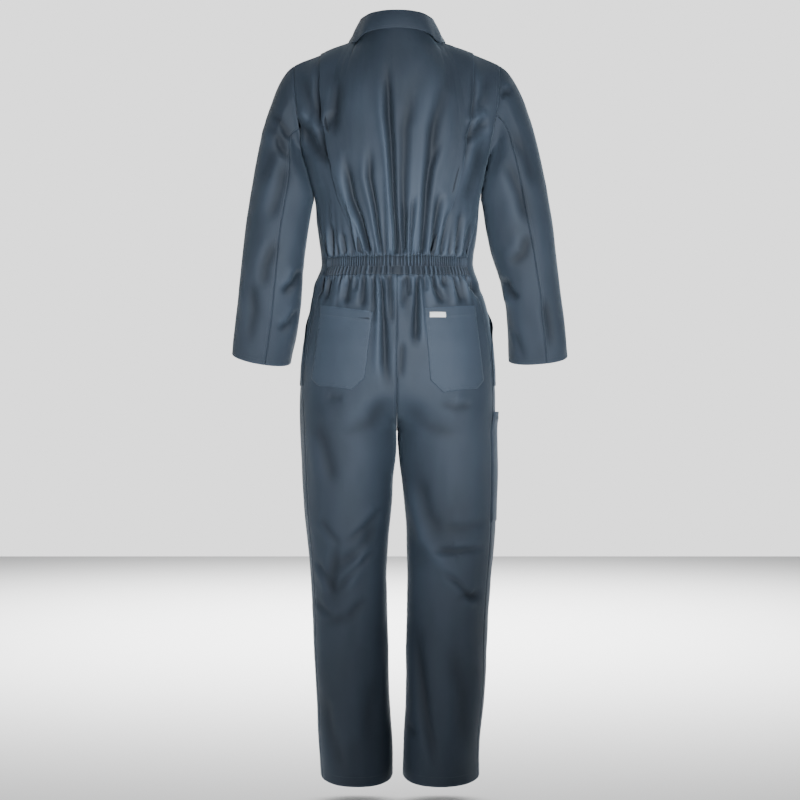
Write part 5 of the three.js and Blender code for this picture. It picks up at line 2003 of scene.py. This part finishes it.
@dataclass
class BackPockets(Section):
    """Patch pockets on the seat, with a plain tab on the right one.

    Attributes:
        shapes: the left and right pocket.
        columns: columns across one.
        rows: rows up one.
        hem: depth of the turned hem at its mouth.
        belly: how far its middle stands out.
        doubled: how much the hem's second layer adds.
    """

    shapes: tuple[PocketShape, PocketShape] = (
        PocketShape((52, -610), (168, -593), (73, -779), (190, -770)),
        PocketShape((60, -602), (172, -594), (75, -785), (194, -776)),
    )
    columns: int = 56
    rows: int = 88
    hem: float = 22.0
    belly: float = 1.6
    doubled: float = 0.8

    def build(self) -> None:
        """Makes both pockets."""
        for side, shape in zip(Side, self.shapes):
            across, up = np.meshgrid(spread(0, 1, self.columns), spread(0, 1, self.rows))
            x, z = shape.at(across, up)
            share = FORM.share_at(side, True, x, level_of(z))
            from_top = (1 - up) * shape.height
            doubled = self.doubled * smooth((self.hem - from_top) / 1.5)
            arched = np.maximum(hump(across), 0.0)
            belly = arched * np.maximum(hump(up), 0.0) ** 0.7 + bell(from_top, 14) * arched**0.6
            pocket = patch_sheet(
                side, True, share, z, PATCH_STAND + doubled + self.belly * belly
            )
            pocket = pocket.sewn(Seams(1, 1, 1, 0), 1.4, 0.4)
            for edge in (Edge.FIRST, Edge.LAST, Edge.LOW):
                self.row(pocket, edge, *PATCHED)
            self.row(pocket, Edge.HIGH, self.hem - 1.5)
            pocket = turned(pocket, Edge.HIGH, self.hem * 0.8, 0.8)
            self.keep(pocket, "back_pocket_" + side.word, Cut(126, 212, 0.9))


@dataclass
class Tab(Section):
    """The small white tab at the corner of the right back pocket.

    Attributes:
        corner: its inner upper corner in the back view.
        size: its width and height.
        stand: how far its face stands above the form.
        wall: its thickness.
        bow: how far its middle bows out.
        columns, rows: steps across it and up it.
    """

    corner: tuple[float, float] = (71.0, -610.0)
    size: tuple[float, float] = (34.5, 11.5)
    stand: float = PATCH_STAND + 3.4
    wall: float = 0.6
    bow: float = 0.5
    columns: int = 26
    rows: int = 12

    def build(self) -> None:
        """Makes the tab."""
        across, up = np.meshgrid(spread(0, 1, self.columns), spread(0, 1, self.rows))
        x = self.corner[0] + across * self.size[0]
        z = self.corner[1] - (1 - up) * self.size[1]
        share = FORM.share_at(Side.RIGHT, True, x, level_of(z))
        out = self.stand + self.bow * hump(across)
        tab = patch_sheet(Side.RIGHT, True, share, z, out)
        tab = tab.sewn(Seams(1, 1, 1, 1), 0.5, 0.1)
        self.keep(tab, "label", Cut(38, 14), self.wall)


@dataclass
class HipPockets(Section):
    """Front pockets, each with a slanted mouth towards the side seam.

    Attributes:
        top: height of the upper edge.
        mouth_low: height where the mouth ends.
        bottom: height of the lower edge.
        inner: share of a half front at the inner edge.
        mouth: shares at the mouth's upper and lower end.
        gapes: how far the mouth stands open, on the left and on the right.
        gape_z: height where it stands open most.
        belly: how far its middle stands out.
        columns, rows: steps across it and up it.
    """

    top: float = -536.0
    mouth_low: float = -700.0
    bottom: float = -770.0
    inner: float = 0.4
    mouth: tuple[float, float] = (0.78, 1.15)
    gapes: tuple[float, float] = (2.0, 5.0)
    gape_z: float = -634.0
    belly: float = 1.2
    columns: int = 48
    rows: int = 70

    def build(self) -> None:
        """Makes both pockets."""
        for side, widest in zip(Side, self.gapes):
            across, up = np.meshgrid(spread(0, 1, self.columns), spread(0, 1, self.rows))
            z = lerp(self.bottom, self.top, up)
            opening = np.clip((self.top - z) / (self.top - self.mouth_low), 0, 1)
            share = lerp(self.inner, lerp(*self.mouth, opening), across)
            gape = widest * across**5 * bell(z - self.gape_z, 22)
            out = PATCH_STAND + gape + self.belly * hump(across) * hump(up)
            pocket = patch_sheet(side, False, share, z, out)
            pocket = pocket.sewn(Seams(1, 0, 1, 1), 1.3, 0.3)
            for edge in (Edge.FIRST, Edge.LOW):
                self.row(pocket, edge, *PATCHED)
            self.row(pocket, Edge.LAST, 4.0, 9.0)
            pocket = turned(pocket, Edge.LAST, 12.0, 0.8)
            self.keep(pocket, "hip_pocket_" + side.word, Cut(190, 250, 0.75))


@dataclass
class RulePocket(Section):
    """A long narrow pocket on the outside of the right leg.

    Attributes:
        top: height of its mouth.
        bottom: height of its lower edge.
        seam_turn: how far short of the side seam it ends, as a share.
        width: its width, as a share.
        gape: how far its mouth stands open.
        belly: how far its middle stands out.
        columns, rows: steps across it and up it.
    """

    top: float = -828.0
    bottom: float = -1072.0
    seam_turn: float = 0.012
    width: float = 0.225
    gape: float = 4.5
    belly: float = 1.2
    columns: int = 34
    rows: int = 96

    def build(self) -> None:
        """Makes the pocket."""
        across, up = np.meshgrid(spread(0, 1, self.columns), spread(0, 1, self.rows))
        z = lerp(self.bottom, self.top, up)
        seam = 1 + FORM.wrap(z) - self.seam_turn
        share = lerp(seam - self.width, seam, across)
        hem = 0.8 * smooth((up - 0.91) / 0.01)
        bulge = hump(across) * (self.gape * up**6 + self.belly * hump(up))
        pocket = patch_sheet(Side.RIGHT, False, share, z, PATCH_STAND + hem + bulge)
        pocket = pocket.sewn(Seams(1, 1, 1, 0), 1.3, 0.3)
        for edge in (Edge.FIRST, Edge.LOW, Edge.LAST):
            self.row(pocket, edge, PATCHED[0])
        self.row(pocket, Edge.HIGH, 20.0)
        pocket = turned(pocket, Edge.HIGH, 16.0, 0.8)
        self.keep(pocket, "rule_pocket", Cut(84, 268))


@dataclass
class Placket(Section):
    """The strip that covers the fronts' middle edges, with its press studs.

    Attributes:
        half_width: half its width.
        top: level of its upper end.
        bottom: height of its lower end.
        stand: how far its face stands above the form.
        stud_levels: levels of the first and last stud.
        studs: how many there are.
        columns, rows: steps across it and up it.
        places: where the studs stand, with the cloth's normals.
    """

    half_width: float = 22.0
    top: float = 1.97
    bottom: float = -745.0
    stand: float = CLOTH + 1.0 + 1.8
    stud_levels: tuple[float, float] = (1.69, -1.1)
    studs: int = 8
    columns: int = 22
    rows: int = 190
    places: list[tuple[Array, Array]] = field(default_factory=list)

    def strip(self, x: Array, level: Array) -> Cloth:
        """The strip's outer face over the middle of both fronts."""
        points, normals = np.zeros((*x.shape, 3)), np.zeros((*x.shape, 3))
        for side in Side:
            mine = x * side.value >= 0
            share = FORM.share_at(side, False, np.abs(x), level)
            point, normal = FORM.surface(side, False)(share, level)
            points[mine], normals[mine] = point[mine], normal[mine]
        centre = bell(x, 3.0)[..., None]
        normals = unit(normals * (1 - centre * np.array([1.0, 0, 0])))
        return Cloth(points, normals)

    def build(self) -> None:
        """Makes the strip and finds the studs' places."""
        levels = spread(level_of(self.bottom), self.top, self.rows)
        x, level = np.meshgrid(spread(-self.half_width, self.half_width, self.columns), levels)
        strip = self.strip(x, level)
        folds = BODY_FOLDS.height(strip.points) * 0.5
        strip = strip.raised(self.stand + folds).sewn(Seams(0.6, 0.6, 0.6, 0.6), 1.0, 0.25)
        for edge in (Edge.FIRST, Edge.LAST):
            self.row(strip, edge, 3.0)
        for k in range(self.studs):
            at = lerp(*self.stud_levels, k / (self.studs - 1))
            row = np.interp(at, levels, np.arange(len(levels)))
            point, normal = strip.sample(np.array([row]), np.array([self.columns / 2]), 0.0)
            self.places.append((point[0], normal[0]))
        self.keep(strip, "placket", Cut(46, 740), CLOTH)


@dataclass
class Studs:
    """Press-stud caps down the placket.

    Attributes:
        places: where they stand, with the cloth's normals.
        radius: a cap's radius.
        height: a cap's height.
        rim: radius of its rounded rim, as a share of its height.
        ring_radius: radius of the ring on it, as a share of its own.
        ring_wire, ring_rise: the ring's thickness and place, as shares of the height.
        caps: the caps that were made.
    """

    places: Sequence[tuple[Array, Array]]
    radius: float = 7.5
    height: float = 2.4
    rim: float = 0.42
    ring_radius: float = 0.62
    ring_wire: float = 0.26
    ring_rise: float = 0.87
    caps: list[Piece] = field(default_factory=list)

    def build(self) -> None:
        """Makes each cap as a low dome on a rolled rim."""
        for number, (point, normal) in enumerate(self.places, 1):
            bpy.ops.object.select_all(action="DESELECT")
            turn = Vector((0, 0, 1)).rotation_difference(Vector(normal)).to_euler()
            at = Vector(point + normal * self.height / 2) / METRE
            bpy.ops.mesh.primitive_cylinder_add(
                vertices=40,
                radius=self.radius / METRE,
                depth=self.height / METRE,
                location=at,
                rotation=turn,
            )
            cap = bpy.context.object
            cap.name = f"cap_of_stud_{number}"
            bevel = cap.modifiers.new("rim", "BEVEL")
            bevel.width = self.height * self.rim / METRE
            bevel.segments = 4
            bpy.ops.object.modifier_apply(modifier="rim")
            bpy.ops.mesh.primitive_torus_add(
                major_segments=40,
                minor_segments=10,
                major_radius=self.radius * self.ring_radius / METRE,
                minor_radius=self.height * self.ring_wire / METRE,
                location=Vector(point + normal * self.height * self.ring_rise) / METRE,
                rotation=turn,
            )
            ring = bpy.context.object
            bpy.ops.object.select_all(action="DESELECT")
            ring.select_set(True)
            cap.select_set(True)
            bpy.context.view_layer.objects.active = cap
            bpy.ops.object.join()
            bpy.ops.object.transform_apply(location=True, rotation=True, scale=True)
            bpy.ops.object.shade_smooth()
            self.caps.append(cap)

    def dress(self, finish: Material) -> None:
        for number, cap in enumerate(self.caps, 1):
            cap.data.materials.append(finish)
            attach(cap, "root")
            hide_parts(f"stud_{number}")


@dataclass(frozen=True)
class Lamp:
    """A soft square lamp.

    Attributes:
        name: its name.
        place: where it stands.
        aim: the place it faces.
        size: its edge length.
        watts: its power.
        beam: how wide its beam is, in degrees.
    """

    name: str
    place: Triple
    aim: Triple
    size: float
    watts: float
    beam: float

    def build(self) -> None:
        """Hangs the lamp."""
        data = bpy.data.lights.new(self.name, "AREA")
        data.size, data.energy, data.spread = self.size, self.watts, math.radians(self.beam)
        lamp = bpy.data.objects.new(self.name, data)
        lamp.location = self.place
        way = Vector(self.aim) - Vector(self.place)
        lamp.rotation_euler = way.to_track_quat("-Z", "Y").to_euler()
        bpy.context.scene.collection.objects.link(lamp)


@dataclass(frozen=True)
class Studio:
    """A pale room with soft light, and a camera behind the suit.

    Attributes:
        floor_z: height of the floor.
        lens: the camera's focal length.
        distance: from the camera to the suit's middle.
        dim: the room's light from above and behind the camera.
        bright: its light from beyond the suit.
        lamps: the lamps.
    """

    floor_z: float = -1.70
    lens: float = 90.0
    distance: float = VIEW_DISTANCE / METRE
    dim: Triple = (0.13, 0.135, 0.14)
    bright: Triple = (1.9, 1.9, 1.9)
    lamps: tuple[Lamp, ...] = (
        Lamp("key", (-0.8, 3.3, -0.8), (0.0, 0.0, -0.46), 0.5, 7.2, 32),
        Lamp("fill", (1.9, 3.2, -1.1), (0.0, 0.0, -1.5), 1.2, 8.4, 76),
        Lamp("floor_wash", (0.0, -3.4, 1.2), (0.0, -3.4, -1.7), 4.0, 420, 100),
    )

    def build(self) -> None:
        """Makes the floor, the room's light, the lamps and the camera."""
        bpy.ops.object.select_all(action="DESELECT")
        bpy.ops.mesh.primitive_plane_add(size=14, location=(0, 0, self.floor_z))
        floor = bpy.context.object
        floor.name = "studio_floor"
        floor.data.materials.append(Plain("pale_floor", (0.86, 0.86, 0.86), 0.8).material())
        floor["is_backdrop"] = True
        world = bpy.data.worlds.new("soft_room")
        world.use_nodes = True
        tree = world.node_tree
        way = add_node(tree, "ShaderNodeTexCoord", {}, {}, "Generated")
        y = add_node(tree, "ShaderNodeSeparateXYZ", {}, {"Vector": way}, "Y")
        beyond = (y * -1.7 - 0.5).clamped()
        shade = mix_colours(tree, beyond, self.dim, self.bright)
        tree.links.new(shade.socket, tree.nodes["Background"].inputs["Color"])
        bpy.context.scene.world = world
        for lamp in self.lamps:
            lamp.build()
        data = bpy.data.cameras.new("camera")
        data.lens = self.lens
        camera = bpy.data.objects.new("camera", data)
        camera.location = (VIEW_X / METRE, self.distance, VIEW_Z / METRE)
        camera.rotation_euler = (math.pi / 2, 0, math.pi)
        bpy.context.scene.collection.objects.link(camera)
        bpy.context.scene.camera = camera


def as_numbers(box: Any) -> Any:
    """A box of sizes as plain lists of numbers."""
    if isinstance(box, dict):
        return {key: as_numbers(value) for key, value in box.items()}
    if hasattr(box, "__len__") and not isinstance(box, str):
        return [as_numbers(value) for value in box]
    return float(box)


def main() -> None:
    """Builds the suit, dresses it and sets up the room."""
    logging.basicConfig(level=logging.INFO, format="%(message)s")
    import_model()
    before = as_numbers(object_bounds())
    thread = Stitching()
    cloth = Twill().material()
    sections = [
        Back(thread), Waistband(thread), Fronts(thread), BackLegs(thread), Sleeves(thread),
        Collar(thread), BackPockets(thread), HipPockets(thread), RulePocket(thread),
    ]
    placket = Placket(thread)
    for section in [*sections, placket]:
        section.build()
        section.dress(cloth)
        LOG.info("%s: %d pieces", type(section).__name__, len(section.pieces))
    tab = Tab(thread)
    tab.build()
    tab.dress(Plain("white_tape", (0.86, 0.88, 0.90), 0.7, grain=900.0).material(), "label")
    studs = Studs(placket.places)
    studs.build()
    studs.dress(Plain("dark_metal", (0.10, 0.105, 0.115), 0.35, 1.0, 700.0).material())
    sewn = thread.build("topstitching")
    sewn.data.materials.append(Plain("slate_thread", (0.075, 0.095, 0.12), 0.55).material())
    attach(sewn, "root")
    LOG.info("stitches: %d faces", len(sewn.data.polygons))
    Studio().build()
    {"cad": before, "visual": as_numbers(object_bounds())}


if __name__ == "__main__":
    main()
